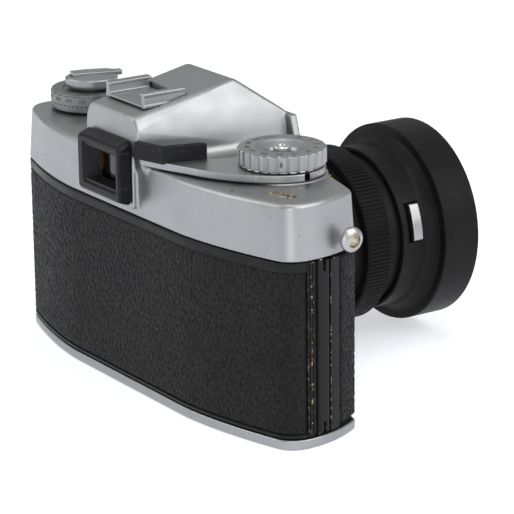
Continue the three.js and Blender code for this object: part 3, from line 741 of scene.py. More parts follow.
def eyepiece(x, y, z):
    low = taper(y, EYE_REAR, EYE_FOOT, 61, 59.5)
    high = taper(y, EYE_REAR, EYE_FOOT, 77.7, 79.3)
    frame_field = both([abs(x - EYE_X) - 11.8, both([z - high, low - z])], 1.6)
    frame_field = both([frame_field, between(y, EYE_REAR, EYE_FOOT)], 0.7)
    half = taper(y, EYE_REAR, EYE_FOOT, 8.6, 6.6)
    funnel = both([abs(x - LENS_X) - half, z - taper(y, EYE_REAR, EYE_FOOT, 75, 73.4),
                   taper(y, EYE_REAR, EYE_FOOT, 64.3, 65.4) - z])
    step = both([abs(x - LENS_X) - 9.3, between(z, 63.5, 75.8), y - EYE_REAR - 0.6], 0.4)
    return cut(frame_field, either([funnel, step]), radius=0.35)


carve("eyepiece_surround", eyepiece, 0.25, PLASTIC, node="eyepiece_frame")


def eye_glass(x, y, z):
    side, height = x - LENS_X, z - 69.2
    rear = -1.9 + 0.006 * (side ** 2 + height ** 2)
    return both([both([abs(side) - 7.5, abs(height) - 5.2], 0.6), both([rear - y, y - 0.4])], 0.2)


carve("eyepiece_window", eye_glass, 0.3, AMBER, node="eyepiece_lens")

# ---- speed dial, release, lever

DIAL_R = half_width("speed_dial")
DIAL_LOW, DIAL_TOP = span("speed_dial", 2)
DIAL_FLUTES = 28


def flutes(r, h, angle):
    """Shallow scallops with narrow lands between them, on the dial's wall only."""
    wave = np.abs(np.sin(angle * DIAL_FLUTES / 2))
    depth = 0.5 * (1 - (1 - wave) ** 1.6)
    return r - depth * ((r > DIAL_R - 0.35) & (h > DIAL_LOW + 0.3) & (h < DIAL_TOP - 0.1))


dial_outline = eased([(3.1, DIAL_LOW), (DIAL_R - 0.6, DIAL_LOW), (DIAL_R, DIAL_LOW + 0.5),
                      (DIAL_R, DIAL_TOP - 0.35), (DIAL_R - 0.5, DIAL_TOP), (7.7, DIAL_TOP),
                      (7.2, DIAL_TOP - 0.5), (5.2, 79.1), (4.7, 78.2), (3.1, 78.2)], 0.18)
turned("speed_dial_fluted", dial_outline, dial_axis, CHROME, "speed_control", node="speed_dial",
       segments=DIAL_FLUTES * 16, shape=flutes)
plunger = eased([(0, 62), (2.6, 62), (2.6, 80.5), (2.1, 80.95), (1.1, 80.95), (0.9, 80), (0, 80)], 0.15)
turned("release_plunger", plunger, dial_axis, STEEL, "shutter_release", node="release_button", segments=64)
SPEEDS = ("B", "1", "2", "4", "8", "15", "30", "60", "125", "250", "500", "1000", "2000")
RIM = 10.2
marks = [(text, 2.3 if len(text) < 3 else 1.9, (i - 4.5) * 2 * math.pi * RIM / 14, 0)
         for i, text in enumerate(SPEEDS)]
lettering("speed_numbers", marks, on_disc(dial_axis, RIM, DIAL_TOP), MARK_BLACK, "speed_control")
SET_SCREW_ANGLE, SET_SCREW_Z = math.radians(-37), 78.3


def set_screw(x, y, z):
    along = (x - DIAL_X) * math.cos(SET_SCREW_ANGLE) + (y - DIAL_Y) * math.sin(SET_SCREW_ANGLE)
    across = -(x - DIAL_X) * math.sin(SET_SCREW_ANGLE) + (y - DIAL_Y) * math.cos(SET_SCREW_ANGLE)
    head = both([np.hypot(across, z - SET_SCREW_Z) - 0.75, between(along, 11.5, 12.75)], 0.15)
    return cut(head, both([abs(across) - 0.14, 12.45 - along]), radius=0.05)


screw_at = (DIAL_X + 12 * math.cos(SET_SCREW_ANGLE), DIAL_Y + 12 * math.sin(SET_SCREW_ANGLE), SET_SCREW_Z)
carve("dial_set_screw", set_screw, 0.09, DARK_STEEL, "speed_control", low=[c - 1.4 for c in screw_at],
      high=[c + 1.4 for c in screw_at])

BLADE = [(13.4, -2.2), (20.9, 0.1), *bezier((34, 4.6), (43, 8.3), (53.5, 14), (55.7, 27.5), 14), (55.7, 27.5),
         (43, 30), (30.6, 25), (26.5, 14.5), (18, 8.5)]
BLADE_LOW, BLADE_TOP = 73.1, 75.3


def lever(x, y, z):
    blade = either([polygon(x, y, BLADE), rod(x, y, DIAL_X, DIAL_Y, 12.6)], 2.0)
    blade = both([blade, z - BLADE_TOP, BLADE_LOW - z], 0.35)
    tube = both([rod(x, y, DIAL_X, DIAL_Y, 4.2), z - BLADE_TOP + 0.5, 62 - z], 0.2)
    return cut(either([blade, tube], 0.3), rod(x, y, DIAL_X, DIAL_Y, 3.1) + 0 * z, radius=0.2)


carve("advance_lever_blade", lever, 0.3, CHROME, "lever", "advance_lever")
TIP_PLAN = [(11.6, -3.1), (22.4, 0.1), (26.4, 13), (17.5, 9), (13.2, -0.6)]
TIP_TOP = high_mm("lever_tip")[2]


def tip(x, y, z):
    outline = polygon(x, y, TIP_PLAN)
    return both([both([outline, z - TIP_TOP], 0.7), 74.8 - z], 0.2)


carve("lever_thumb_tip", tip, 0.25, PLASTIC, "lever", "lever_tip", (10.5, -4, 74.8), (28, 14, TIP_TOP))

# ---- frame counter and film-plane mark

turned("counter_plate", eased([(0, 68.8), (8.2, 68.8), (8.2, 70), (0, 70)], 0.2), counter_axis, MARK_WHITE,
       "counter", node="counter_disc", segments=96)
marks = [(str(n), 1.7, n / 36 * 2 * math.pi * 6.2, 0) for n in range(0, 36, 4)]
lettering("counter_numbers", marks, on_disc(counter_axis, 6.2, 70), MARK_BLACK, "counter")


def counter_glass(x, y, z):
    return both([capsule(x, y, *COUNTER_SLOT, 1.4), z - 72.45, 70.8 - z], 0.35)


carve("counter_glass", counter_glass, 0.2, YELLOWED, node="counter_window", low=(56, 11, 70.8),
      high=(67, 18, 72.5))


def counter_rim(x, y, z):
    return both([abs(capsule(x, y, *COUNTER_SLOT, 1.58)) - 0.12, z - DECK - 0.12, 70.9 - z], 0.1)


carve("counter_rim", counter_rim, 0.15, BRASS, low=(56, 11, 70.8), high=(67, 18, DECK + 0.2))
dot = eased([(0, DECK - 0.4), (0.5, DECK - 0.4), (0.5, DECK + 0.05), (0, DECK + 0.05)], 0.04)
turned("film_plane_mark", dot, upward_at(50, 5.6), MARK_BLACK, segments=24)

# ---- rewind side

RING_R = half_width("film_speed_ring")
RING_LOW, RING_TOP = span("film_speed_ring", 2)
NOTCHES = 24


def notches(r, h, angle):
    """A step round the upper rim, with a narrow tooth left at each division."""
    wave = 0.5 + 0.5 * np.cos(angle * NOTCHES)
    return r - 0.45 * (1 - wave ** 12) * ((r > RING_R - 0.2) & (h > RING_TOP - 0.75))


ring_outline = eased([(4, RING_LOW), (RING_R - 0.5, RING_LOW), (RING_R, RING_LOW + 0.5),
                      (RING_R, RING_TOP - 0.9), (RING_R, RING_TOP - 0.7), (RING_R, RING_TOP - 0.2),
                      (RING_R - 0.5, RING_TOP), (9.3, RING_TOP), (8.8, RING_TOP - 0.6),
                      (4, RING_TOP - 0.6)], 0.12)
# The film-speed ring takes the darker chrome copy, whose tone is painted shade.
turned("film_speed_scale", ring_outline, rewind_axis, CHROME_SHADED, "film_speed", node="film_speed_ring",
       segments=NOTCHES * 24, shape=notches)
FILM_SPEEDS = ("3200", "1600", "800", "400", "200", "100", "50", "25", "12")
SPEED_STEP, SPEED_AT_100 = math.radians(20.5), math.radians(-45)
ring_wall = wrapped(rewind_axis, RING_R)
marks = [(text, 1.75, (SPEED_AT_100 + (i - 5) * SPEED_STEP) * RING_R, RING_LOW + 3.9)
         for i, text in enumerate(FILM_SPEEDS)]
lettering("film_speed_numbers", marks, ring_wall, MARK_BLACK, "film_speed")
marks = [((SPEED_AT_100 + (i - 15) * SPEED_STEP / 3) * RING_R, RING_LOW + 2.2, 0.75, 0.35) for i in range(25)]
strokes("film_speed_ticks", marks, ring_wall, MARK_BLACK, "film_speed")
CRANK_ANGLE = -0.3
CRANK_BACK, CRANK_EDGE, CRANK_R = 5.8, 1.3, 8.0
CRANK_LOW, CRANK_TOP = 82.3, 83.7
KNOB_LOW, KNOB_TOP = RING_TOP + 0.3, high_mm("rewind_knob")[2] + 0.75
KNOB_R, KNOB_SEAT = 8.3, 82.1


def crank_axes(x, y):
    """Along and across the folded crank, from the rewind axis."""
    dx, dy = x - REWIND_X, y - REWIND_Y
    return (-dx * math.sin(CRANK_ANGLE) + dy * math.cos(CRANK_ANGLE),
            dx * math.cos(CRANK_ANGLE) + dy * math.sin(CRANK_ANGLE))


def rewind_knob(x, y, z):
    along, across = crank_axes(x, y)
    r = np.hypot(along, across)
    wall = r - KNOB_R + 0.5 * np.clip((80.8 - z) / 1.5, 0, 1) ** 2
    crown = z - KNOB_TOP + 0.5 * (r / KNOB_R) ** 2
    body = both([wall, crown, KNOB_LOW - z], 0.5)
    body = cut(body, both([across - CRANK_EDGE - 0.2, KNOB_SEAT - z]), radius=0.15)
    shaft = both([r - 2.2, z - KNOB_LOW - 1, 47.2 - z], 0.2)
    fork = both([abs(x - REWIND_X) - 0.7, z - 51])
    return cut(either([body, shaft], 0.2), fork)


carve("rewind_knob_top", rewind_knob, 0.22, CHROME, "rewind", "rewind_knob",
      high=[c + 0.8 for c in high_mm("rewind_knob")])


def crank(x, y, z):
    along, across = crank_axes(x, y)
    r = np.hypot(along, across)
    plate = both([r - CRANK_R, across - CRANK_EDGE, -CRANK_BACK - along], 0.3)
    nub = both([between(across, CRANK_EDGE - 3.8, CRANK_EDGE), between(along, 5, 9.9)], 0.8)
    top = z - CRANK_TOP + 0.9 * np.clip((CRANK_EDGE - across) / 9, 0, 1) ** 2
    arm = both([either([plate, nub], 0.3), top, CRANK_LOW - z], 0.25)
    for spot in (-0.9, 0.9):
        pit = np.sqrt((along - spot) ** 2 + (across - 0.1) ** 2 + (z - CRANK_TOP - 0.1) ** 2) - 0.45
        arm = cut(arm, pit, radius=0.08)
    return arm


carve("rewind_crank_arm", crank, 0.16, CHROME, "crank", "rewind_crank",
      high=[c + 0.6 for c in high_mm("rewind_crank")])

# ---- base plate and what is in it

BATTERY_X, BATTERY_Y, _ = middle("battery_cover")
SOCKET_X, SOCKET_Y, _ = middle("tripod_socket")
RELEASE_X, RELEASE_Y, _ = middle("rewind_release_button")
SCREWS = [middle(f"base_screw_{n}")[:2] for n in (1, 2, 3)]


def base_plate(x, y, z):
    outline = plan(x, y)
    tray = both([both([outline, -z], 1.1), z - BASE_TOP], 0.25)
    tray = cut(tray, both([outline + 1.3, 1.3 - z]))
    bosses = ((SOCKET_X, SOCKET_Y, 8.8), (BATTERY_X, BATTERY_Y, 11), (RELEASE_X, RELEASE_Y, 4.2))
    for cx, cy, radius in bosses:
        tray = either([tray, both([rod(x, y, cx, cy, radius), z - BASE_TOP, 0.4 - z])], 0.3)
    holes = [rod(x, y, SOCKET_X, SOCKET_Y, 7.4), rod(x, y, BATTERY_X, BATTERY_Y, 9.7),
             rod(x, y, RELEASE_X, RELEASE_Y, 3)] + [rod(x, y, *screw, 2.6) for screw in SCREWS]
    return cut(tray, *[hole + 0 * z for hole in holes], radius=0.25)


carve("base_plate_tray", base_plate, 0.45, CHROME, node="base_plate", low=(-75, 0, 0),
      high=(75, BULGE_FRONT, BASE_TOP))


def slotted_head(cx, cy, radius, top, height, slot):
    """A coin or screwdriver slot in a round head that faces down."""
    def field(x, y, z):
        head = both([rod(x, y, cx, cy, radius), 0.1 - z, z - height], 0.25)
        return cut(head, both([abs(y - cy) - slot, abs(x - cx) - radius * top, z - 0.8]), radius=0.1)
    return field


carve("battery_cap", slotted_head(BATTERY_X, BATTERY_Y, 9.3, 0.7, BASE_TOP, 0.7), 0.3, STEEL, "battery_lid",
      "battery_cover")
for n, (sx, sy) in enumerate(SCREWS, 1):
    head = slotted_head(sx, sy, 2.2, 1.2, 5, 0.3)
    carve(f"base_screw_head_{n}", head, 0.2, STEEL, node=f"base_screw_{n}")


def thread(r, h, angle):
    return r + 0.2 * np.sin(h * 2 * math.pi / 1.27 + angle) * ((r < 3.3) & (r > 3))


bore = [(3.1, z) for z in np.linspace(6.4, 0.4, 40)]
bush = [(0, 6.4), *bore, (3.4, 0.1), (6.8, 0.1), (7, 0.3), (7, 8.2), (6.8, 8.4), (0, 8.4)]
turned("tripod_bush", bush, upward_at(SOCKET_X, SOCKET_Y), STEEL, node="tripod_socket", segments=96,
       shape=thread)
pin = eased([(0, 0.5), (1.8, 0.5), (2.2, 0.1), (2.6, 0.4), (2.6, 5.4), (0, 5.4)], 0.2)
turned("rewind_release_pin", pin, upward_at(RELEASE_X, RELEASE_Y), STEEL, "rewind_release",
       node="rewind_release_button", segments=64)

# ---- leather, door and hinge

rng = np.random.default_rng(7)


def pebbles(rows, columns, spacing, wide, tall):
    """Seeded leather relief: smooth grains of about the given size, with narrow creases between them."""
    noise = rng.standard_normal((rows, columns))
    fv = np.fft.fftfreq(rows, spacing)[:, None] * tall
    fu = np.fft.fftfreq(columns, spacing)[None, :] * wide
    f = np.hypot(fu, fv)
    band = np.exp(-((f - 0.75) / 0.35) ** 2)
    grain = np.fft.ifft2(np.fft.fft2(noise) * band).real
    grain /= grain.std()
    return np.tanh(1.2 * grain + 0.4)


def leather(name, keep, low, high, skin, node, body="camera_body", spacing=0.38):
    """A pebbled covering along the outline where keep(points) holds, closed at its back and edges."""
    loop = np.concatenate([PLAN, PLAN[:1]])
    lengths = np.concatenate([[0], np.cumsum(np.linalg.norm(np.diff(loop, axis=0), axis=1))])
    s = np.arange(0, lengths[-1], spacing)
    points = np.stack([np.interp(s, lengths, loop[:, k]) for k in (0, 1)], 1)
    tangent = np.roll(points, -2, axis=0) - np.roll(points, 2, axis=0)
    tangent /= np.linalg.norm(tangent, axis=1, keepdims=True)
    normal = np.stack([tangent[:, 1], -tangent[:, 0]], 1)
    inside = keep(points)
    first = int(np.argmax(inside & ~np.roll(inside, 1)))
    points, normal, inside = (np.roll(a, -first, axis=0) for a in (points, normal, inside))
    count = int(np.argmin(inside)) if not inside.all() else len(points)
    points, normal = points[:count], normal[:count]
    heights = np.arange(low, high + spacing / 2, spacing)
    relief = pebbles(len(heights), count, spacing, 1.15, 1.9)
    from_edge = np.minimum(np.minimum(heights - low, high - heights)[:, None],
                           np.minimum(np.arange(count), count - 1 - np.arange(count))[None, :] * spacing)
    drop = 0.34 * np.clip(1 - from_edge / 0.8, 0, 1) ** 2
    inset = 0.11 - 0.1 * relief + drop
    vertices = []
    for j in range(count):
        for i, z in enumerate(heights):
            vertices.append((*(points[j] - normal[j] * inset[i, j]), z))
        for z in (high, low):
            vertices.append((*(points[j] - normal[j] * skin), z))
    ring = len(heights) + 2
    faces = []
    for j in range(count - 1):
        a, b = j * ring, (j + 1) * ring
        for i in range(ring):
            k = (i + 1) % ring
            faces.append([a + i, b + i, b + k, a + k])
    faces.append(list(range(ring)))
    faces.append([(count - 1) * ring + n for n in range(ring)][::-1])
    return piece(name, vertices, faces, LEATHER, body, node)


DOOR_LOW, DOOR_HIGH = span("back_door", 2)
HINGE_X, HINGE_Y, _ = middle("hinge_pin")
LEATHER_EDGE = 14.2
LEATHER_LOW, LEATHER_HIGH = 4.9, 52.6
DOOR_EDGE = 17.2
RIM_SEAM = 14.6           # where the door's fine edge pieces meet its broad shell
LEAF_LOW, LEAF_HIGH = span("hinge_leaf", 2)
LEAF_REAR, LEAF_FRONT = 22.95, high_mm("hinge_leaf")[1]


def door(x, y, z):
    """The door with its flat-sided hinge barrel; two fine grooves run down each end of the rim."""
    outline = plan(x, y)
    shell = both([outline, -2.3 - outline, DOOR_LOW - z, z - DOOR_HIGH, y - DOOR_EDGE], 0.6)
    recess = both([-0.8 - outline, y - LEATHER_EDGE - 0.25,
                   between(z, LEATHER_LOW - 0.2, LEATHER_HIGH + 0.2)])
    shell = cut(shell, recess, radius=0.2)
    for groove_y in (15.3, 16.35):
        shell = cut(shell, both([abs(y - groove_y) - 0.14, -0.3 - outline]))
    turn = rod(x, y, HINGE_X, HINGE_Y, 2.65)
    barrel = both([outline, turn, between(y, 18.1, 22.6), between(z, LEAF_LOW, LEAF_HIGH)], 0.3)
    for end in (LEAF_LOW, LEAF_HIGH):
        barrel = cut(barrel, both([abs(y - 20.6) - 0.5, abs(z - end) - 3.2, HINGE_X - x]), radius=0.1)
    web = block(x, y, z, (HINGE_X - 0.9, DOOR_EDGE - 1, LEAF_LOW), (HINGE_X + 1.1, HINGE_Y, LEAF_HIGH), 0.2)
    hinge = either([barrel, web], 0.15)
    return cut(either([shell, hinge], 0.15), rod(x, y, HINGE_X, HINGE_Y, 1.2) + 0 * z)


def door_part(side):
    """The broad shell (0) or the fine edge at one end (1 or -1)."""
    def field(x, y, z):
        if side == 0:
            return both([door(x, y, z), y - RIM_SEAM])
        return both([door(x, y, z), RIM_SEAM - y, 60 - x * side])
    return field


door_left, door_right = span("back_door", 0)
carve("door_shell", door_part(0), 0.42, DOOR_BLACK, "door", "back_door",
      high=(door_right, RIM_SEAM, DOOR_HIGH))
carve("door_edge_right", door_part(1), 0.17, HINGE_BLACK, "door", low=(68, RIM_SEAM, DOOR_LOW),
      high=(door_right, 22.8, DOOR_HIGH))
carve("door_edge_left", door_part(-1), 0.17, HINGE_BLACK, "door", low=(door_left, RIM_SEAM, DOOR_LOW),
      high=(-68, DOOR_EDGE, DOOR_HIGH))
leather("door_covering", lambda p: p[:, 1] < LEATHER_EDGE, LEATHER_LOW, LEATHER_HIGH, 0.5, "door_leather",
        "door")
RIGHT_EDGE, LEFT_EDGE = low_mm("front_leather_right")[0], high_mm("front_leather_left")[0]
leather("front_covering_right", lambda p: (p[:, 1] > 27) & (p[:, 0] > RIGHT_EDGE), 5, 54.6, 0.7,
        "front_leather_right")
leather("front_covering_left", lambda p: (p[:, 1] > 27) & (p[:, 0] < LEFT_EDGE), 5, 54.6, 0.7,
        "front_leather_left")


def hinge_leaf(x, y, z):
    outline = plan(x, y)
    strip = both([outline, -0.8 - outline, between(y, LEAF_REAR, LEAF_FRONT)], 0.15)
    return both([strip, between(z, LEAF_LOW, LEAF_HIGH)], 0.2)


carve("hinge_leaf_plate", hinge_leaf, 0.17, HINGE_BLACK, node="hinge_leaf", low=(72, LEAF_REAR, LEAF_LOW))

# ---- strap lugs

LUG_Y, LUG_Z = middle("strap_lug_right")[1:]
for name, side in (("right", 1), ("left", -1)):
    def sideways(r, h, angle, side=side):
        return side * h, LUG_Y + r * np.cos(angle), LUG_Z + r * np.sin(angle)

    dome = [(3.65 * math.sin(t), 75.6 + 1.4 * math.cos(t)) for t in np.linspace(math.pi / 2, 0.62, 8)]
    stud = [(0, 72.8), (1.9, 72.8), (1.9, 74.6), (3.3, 74.7), (3.62, 75.1), *dome, (1.9, 76.2), (0, 76.2)]
    turned(f"strap_lug_stud_{name}", stud, sideways, LUG_STEEL, node=f"strap_lug_{name}", slot="worn_brass",
           segments=72)
    core = [(2.4 * math.sin(t), 76.3 + 0.55 * math.cos(t)) for t in np.linspace(math.pi / 2, 0, 8)]
    turned(f"strap_lug_core_{name}", [(0, 75.8), (2.4, 75.8), *core], sideways, BRASS, segments=48)

# ---- lens

mount = eased([(21.5, 50.6), (26.5, 50.6), (26.5, 52.9), (21.5, 52.9)], 0.25)
turned("mount_ring", mount, forward, STEEL, node="mount_flange")
sleeve = eased([(14.5, 48.5), (17.5, 48.5), (17.5, 53.2), (26.4, 53.2), (26.4, 54.4), (21, 54.4), (21, 61),
                (26, 61), (26, 65.8), (21, 65.8), (21, 77.5), (17.6, 77.5), (17.6, 57), (14.5, 56)], 0.2)
turned("barrel_sleeve", sleeve, forward, LENS_BLACK, "lens", node="lens_barrel")
grip = eased([(21.4, 54.9), (27.2, 54.9), (27.2, 60.6), (21.4, 60.6)], 0.3)
turned("aperture_grip", grip, forward, LENS_BLACK, "aperture", node="aperture_ring", segments=90 * 6,
       shape=ribs(90, 0.35, 56, 60.6))
RIB_COUNT = 132
RIB_LOW, RIB_HIGH, RIB_R = 72.0, high_mm("focus_ring")[1], 27.6


def focus_ribs(r, h, angle):
    """Square-topped axial ribs on the wide part of the focus ring."""
    wave = np.cos(angle * RIB_COUNT)
    groove = 0.55 * np.clip(0.5 - 1.6 * wave, 0, 1)
    return r - groove * ((r > RIB_R - 0.4) & (h > RIB_LOW + 0.15) & (h < RIB_HIGH - 0.1))


grip = eased([(21.4, 66.1), (24.3, 66.1), (24.3, 71.9), (27.0, RIB_LOW), (RIB_R, RIB_LOW + 0.5),
              (RIB_R, RIB_HIGH - 0.5), (27.0, RIB_HIGH), (21.4, RIB_HIGH)], 0.15)
turned("focus_grip", grip, forward, LENS_BLACK, "focus", node="focus_ring", segments=RIB_COUNT * 8,
       shape=focus_ribs)
tube = eased([(13.5, 60.5), (17.2, 60.5), (17.2, 81.3), (24, 81.3), (24, 97), (20.5, 97), (19.8, 94.5),
              (18.6, 94.5), (18.0, 92.8), (16.5, 92.8), (16.5, 84), (13.5, 82)], 0.15)
turned("front_tube", tube, forward, LENS_BLACK, "front_lens", node="front_barrel")
DISTANCES = ("20", "15", "10", "8", "7", "6", "5", "4.5", "4", "3.5", "3", "2.5", "2")
APERTURES = ("22", "16", "11", "8", "5.6", "4", "2.8", "2")


def ring_numbers(name, texts, size, first, step, radius, y, material, body):
    """A row of numbers round the lens, the first of them and the step between them in degrees."""
    marks = [(text, size, math.radians(first + step * i) * radius, y) for i, text in enumerate(texts)]
    lettering(name, marks, wrapped(forward, radius), material, body)


ring_numbers("distance_numbers", DISTANCES, 2.6, 42, 11, 24.3, 69.2, MARK_YELLOW, "focus")
ring_numbers("aperture_numbers", APERTURES, 2.2, 60, 9, 26, 63.4, MARK_WHITE, "lens")


def lens_cap_curve(radius, edge, crown, count=14):
    """A shallow dome from the rim at height edge to the middle at height crown."""
    return [(radius * (1 - t), crown + (edge - crown) * (1 - t) ** 2) for t in np.linspace(0, 1, count)]


turned("front_glass", [(0, 84.5), (16, 84.5), *lens_cap_curve(16, 89, 92.2)], forward, COATED, "front_lens",
       node="front_element")
turned("rear_glass", [*lens_cap_curve(14, 50.6, 48.8)[::-1], (14, 55), (0, 55)], forward, COATED, "lens",
       node="rear_element", segments=96)

HOOD_REAR, HOOD_FRONT = span("lens_hood", 1)
HOOD_R = half_width("lens_hood")
NARROW_R = 25.9
STEP_Y = 98.5
CATCH_ANGLE, CATCH_WIDTH, CATCH_REAR, CATCH_FRONT = 0.27, 11.6, 89.7, 93.7


def catch_side(x, z, side):
    """Distances from the lens's axis across a hood catch and outward through its middle."""
    dx, dz = (x - LENS_X) * side, (z - LENS_Z) * side
    across = -dx * math.sin(CATCH_ANGLE) + dz * math.cos(CATCH_ANGLE)
    outward = dx * math.cos(CATCH_ANGLE) + dz * math.sin(CATCH_ANGLE)
    return across, outward


def hood(x, y, z):
    r = np.hypot(x - LENS_X, z - LENS_Z)
    flare = NARROW_R + 2.9 * np.clip((y - 94.5) / (STEP_Y - 94.5), 0, 1.2) ** 1.8
    narrow = both([r - flare, HOOD_REAR - y, y - STEP_Y - 1], 0.35)
    wide = both([r - HOOD_R, STEP_Y - y, y - HOOD_FRONT], 0.35)
    outer = either([narrow, wide], 0.15)
    bore = both([r - 24.4, y - 98])
    cone = r - taper(y, 97.6, 100, 24.4, HOOD_R - 1.4) + 0 * y
    throat = both([cone, r - (HOOD_R - 1.3 + 0.012 * (y - 100)), 97.6 - y])
    baffle = 0.25 * np.abs(((y - 100) / 1.1) % 2 - 1) * (y > 100.6)
    shell = cut(outer, bore, throat + baffle, radius=0.2)
    for side in (1, -1):
        across, outward = catch_side(x, z, side)
        window = both([abs(across) - CATCH_WIDTH / 2 - 0.3, between(y, CATCH_REAR - 1.0, CATCH_FRONT + 0.3),
                       10 - outward])
        shell = cut(shell, window, radius=0.15)
    return shell


carve("hood_shell", hood, 0.45, LENS_BLACK, "front_lens", "lens_hood")
for name, side in (("right", 1), ("left", -1)):
    def catch(x, y, z, side=side):
        across, outward = catch_side(x, z, side)
        r = np.hypot(x - LENS_X, z - LENS_Z)
        return both([r - 26.6, 24.9 - r, between(y, CATCH_REAR + 0.4, CATCH_FRONT),
                     abs(across) - CATCH_WIDTH / 2, 10 - outward], 0.4)

    carve(f"hood_catch_button_{name}", catch, 0.2, LUG_STEEL, f"catch_{name}", f"hood_catch_{name}")

# ---- front panel


def front_panel(x, y, z):
    """The smooth black panel that covers the mirror box between the two coverings."""
    outline = plan(x, y)
    band = both([outline, -0.95 - outline, between(z, BASE_TOP + 0.3, COVER_FOOT - 0.3)], 0.3)
    middle_part = both([band, x - RIGHT_EDGE + 0.3, LEFT_EDGE + 0.3 - x, 30 - y], 0.25)
    return cut(middle_part, rod(x, z, LENS_X, LENS_Z, 21.3) + 0 * y, radius=0.2)


carve("front_panel", front_panel, 0.4, DOOR_BLACK, low=(LEFT_EDGE, 38, BASE_TOP),
      high=(RIGHT_EDGE, BULGE_FRONT, COVER_FOOT))

# ---- front controls

TIMER_X, TIMER_Z = -42, 44


def timer(x, y, z):
    hub = both([rod(x, z, TIMER_X, TIMER_Z, 4.6), between(y, 40, 43)], 0.5)
    down = TIMER_Z - z
    half = taper(down, 0, 20, 3.4, 2.2)
    arm = both([abs(x - TIMER_X) - half, z - TIMER_Z, down - 20, between(y, 40, 42.2)], 0.5)
    spindle = both([rod(x, z, TIMER_X, TIMER_Z, 1.2), between(y, 34, 41)], 0.1)
    eye = both([abs(rod(x, z, TIMER_X, TIMER_Z, 2.6)) - 0.2, 42.7 - y])
    return cut(either([hub, arm, spindle], 0.4), eye, radius=0.1)


carve("timer_arm", timer, 0.25, CHROME, "timer", "self_timer_lever")
for node, new_name, body in (("preview_button", "preview_plunger", "preview"),
                             ("lens_release_button", "lens_release_plunger", "lens_release")):
    bx, _, bz = middle(node)
    rear, front = span(node, 1)
    radius = half_width(node)
    plunger = eased([(0, rear), (radius, rear), (radius, front - 0.2), (radius - 0.4, front),
                     (radius - 1.0, front), (radius - 1.3, front - 0.35), (0, front - 0.35)], 0.15)
    turned(new_name, plunger, forward_at(bx, bz), STEEL, body, node=node, segments=72)
for n in (1, 2):
    sx, _, sz = SOCKETS[n - 1]
    rear, front = span(f"flash_socket_{n}", 1)
    barrel = eased([(0.8, rear), (2.1, rear), (2.1, front - 1.4), (3, front - 1.4), (3, front), (2.3, front),
                    (2.1, front - 0.3), (1.4, front - 0.3), (1.2, front - 0.1), (0.8, front - 0.1)], 0.1)
    turned(f"flash_socket_barrel_{n}", barrel, forward_at(sx, sz), STEEL, node=f"flash_socket_{n}",
           segments=64)

# ---- materials on the nodes that stay

KEPT = {
    STEEL: ("battery", "hinge_pin", "pressure_spring", "door_catch", "rewind_sleeve"),
    DARK_STEEL: ("pressure_plate", "sprocket_drum", "curtain_roller_left", "curtain_roller_right"),
    MIRROR: ("pentaprism", "reflex_mirror"), INNER_BLACK: ("body_casting",), GLASS: ("focusing_screen",),
    CLOTH: ("shutter_curtain",), PLASTIC: ("takeup_spool",), ENAMEL: ("iris_ring",),
}
for material, node in [(material, node) for material, nodes in KEPT.items() for node in nodes]:
    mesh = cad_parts[node].data
    mesh.materials.clear()
    mesh.materials.append(material)

# ---- floor, light and camera


def stage_floor():
    n = Nodes("pale_floor")
    n.set(Base_Color=n.mix(n.noise(3, 2), (0.66, 0.67, 0.74), (0.69, 0.70, 0.77)), Roughness=0.9)
    n.set(Emission_Color=(1, 1, 1, 1), Emission_Strength=0.5)
    mesh = bpy.data.meshes.new("floor")
    size = 4
    corners = [(-size, -size, 0), (size, -size, 0), (size, size, 0), (-size, size, 0)]
    mesh.from_pydata(corners, [], [(0, 1, 2, 3)])
    mesh.materials.append(n.material)
    linked("floor", mesh)


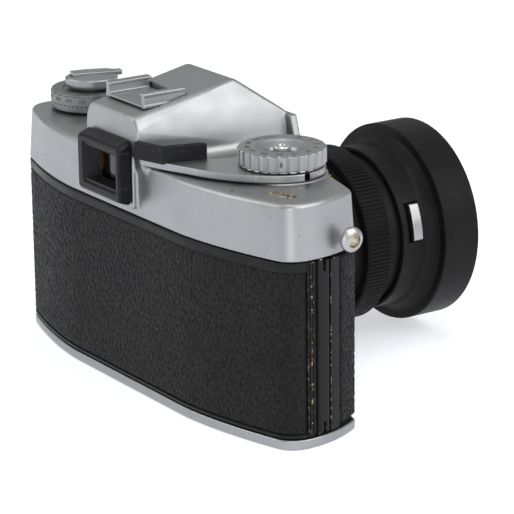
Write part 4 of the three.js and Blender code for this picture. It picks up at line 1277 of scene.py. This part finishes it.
def area_light(name, azimuth, elevation, distance, size, power):
    """A square softbox, aimed at the camera body from an azimuth in degrees round from +X."""
    data = bpy.data.lights.new(name, "AREA")
    data.size = size
    data.energy = power
    lamp = linked(name, data)
    a, e = math.radians(azimuth), math.radians(elevation)
    direction = Vector((math.cos(a) * math.cos(e), math.sin(a) * math.cos(e), math.sin(e)))
    lamp.location = direction * distance
    lamp.rotation_euler = direction.to_track_quat("Z", "Y").to_euler()


def world_light():
    """A dim room: darker near the horizon and paler overhead."""
    world = bpy.data.worlds.new("studio")
    world.use_nodes = True
    tree = world.node_tree
    place = tree.nodes.new("ShaderNodeTexCoord")
    split = tree.nodes.new("ShaderNodeSeparateXYZ")
    ramp = tree.nodes.new("ShaderNodeValToRGB")
    tree.links.new(place.outputs["Generated"], split.inputs[0])
    tree.links.new(split.outputs["Z"], ramp.inputs["Fac"])
    low, high = ramp.color_ramp.elements
    low.color, low.position = (0.34, 0.35, 0.37, 1), 0.1
    high.color, high.position = (0.62, 0.62, 0.62, 1), 0.5
    background = tree.nodes["Background"]
    tree.links.new(ramp.outputs["Color"], background.inputs["Color"])
    background.inputs["Strength"].default_value = 1
    bpy.context.scene.world = world


def photo_camera():
    """The photograph's viewpoint: behind the right end, a little above, through a long lens."""
    data = bpy.data.cameras.new("photo_camera")
    data.lens = 192.5
    data.sensor_width = 36
    azimuth = math.radians(56.11)
    roll = math.radians(-0.65)
    back = np.array((0.79274, -0.53244, 0.29676))
    right = np.array((math.cos(azimuth), math.sin(azimuth), 0))
    up = np.cross(back, right)
    turned_right = math.cos(roll) * right + math.sin(roll) * up
    turned_up = math.cos(roll) * up - math.sin(roll) * right
    rotation = np.stack([turned_right, turned_up, back], 1)
    camera = linked("photo_camera", data)
    camera.matrix_world = Matrix.Translation((0.6710, -0.4558, 0.2840)) @ Matrix(rotation.tolist()).to_4x4()
    bpy.context.scene.camera = camera


stage_floor()
area_light("softbox_right", 20, 35, 0.9, 0.7, 4.6)
area_light("softbox_key", -36, 12, 1.0, 0.22, 1.6)
area_light("softbox_left", -120, 30, 1.1, 0.8, 4)
area_light("softbox_top", -40, 75, 1.0, 0.5, 1.6)
world_light()
photo_camera()
bpy.context.scene.view_settings.view_transform = "Standard"
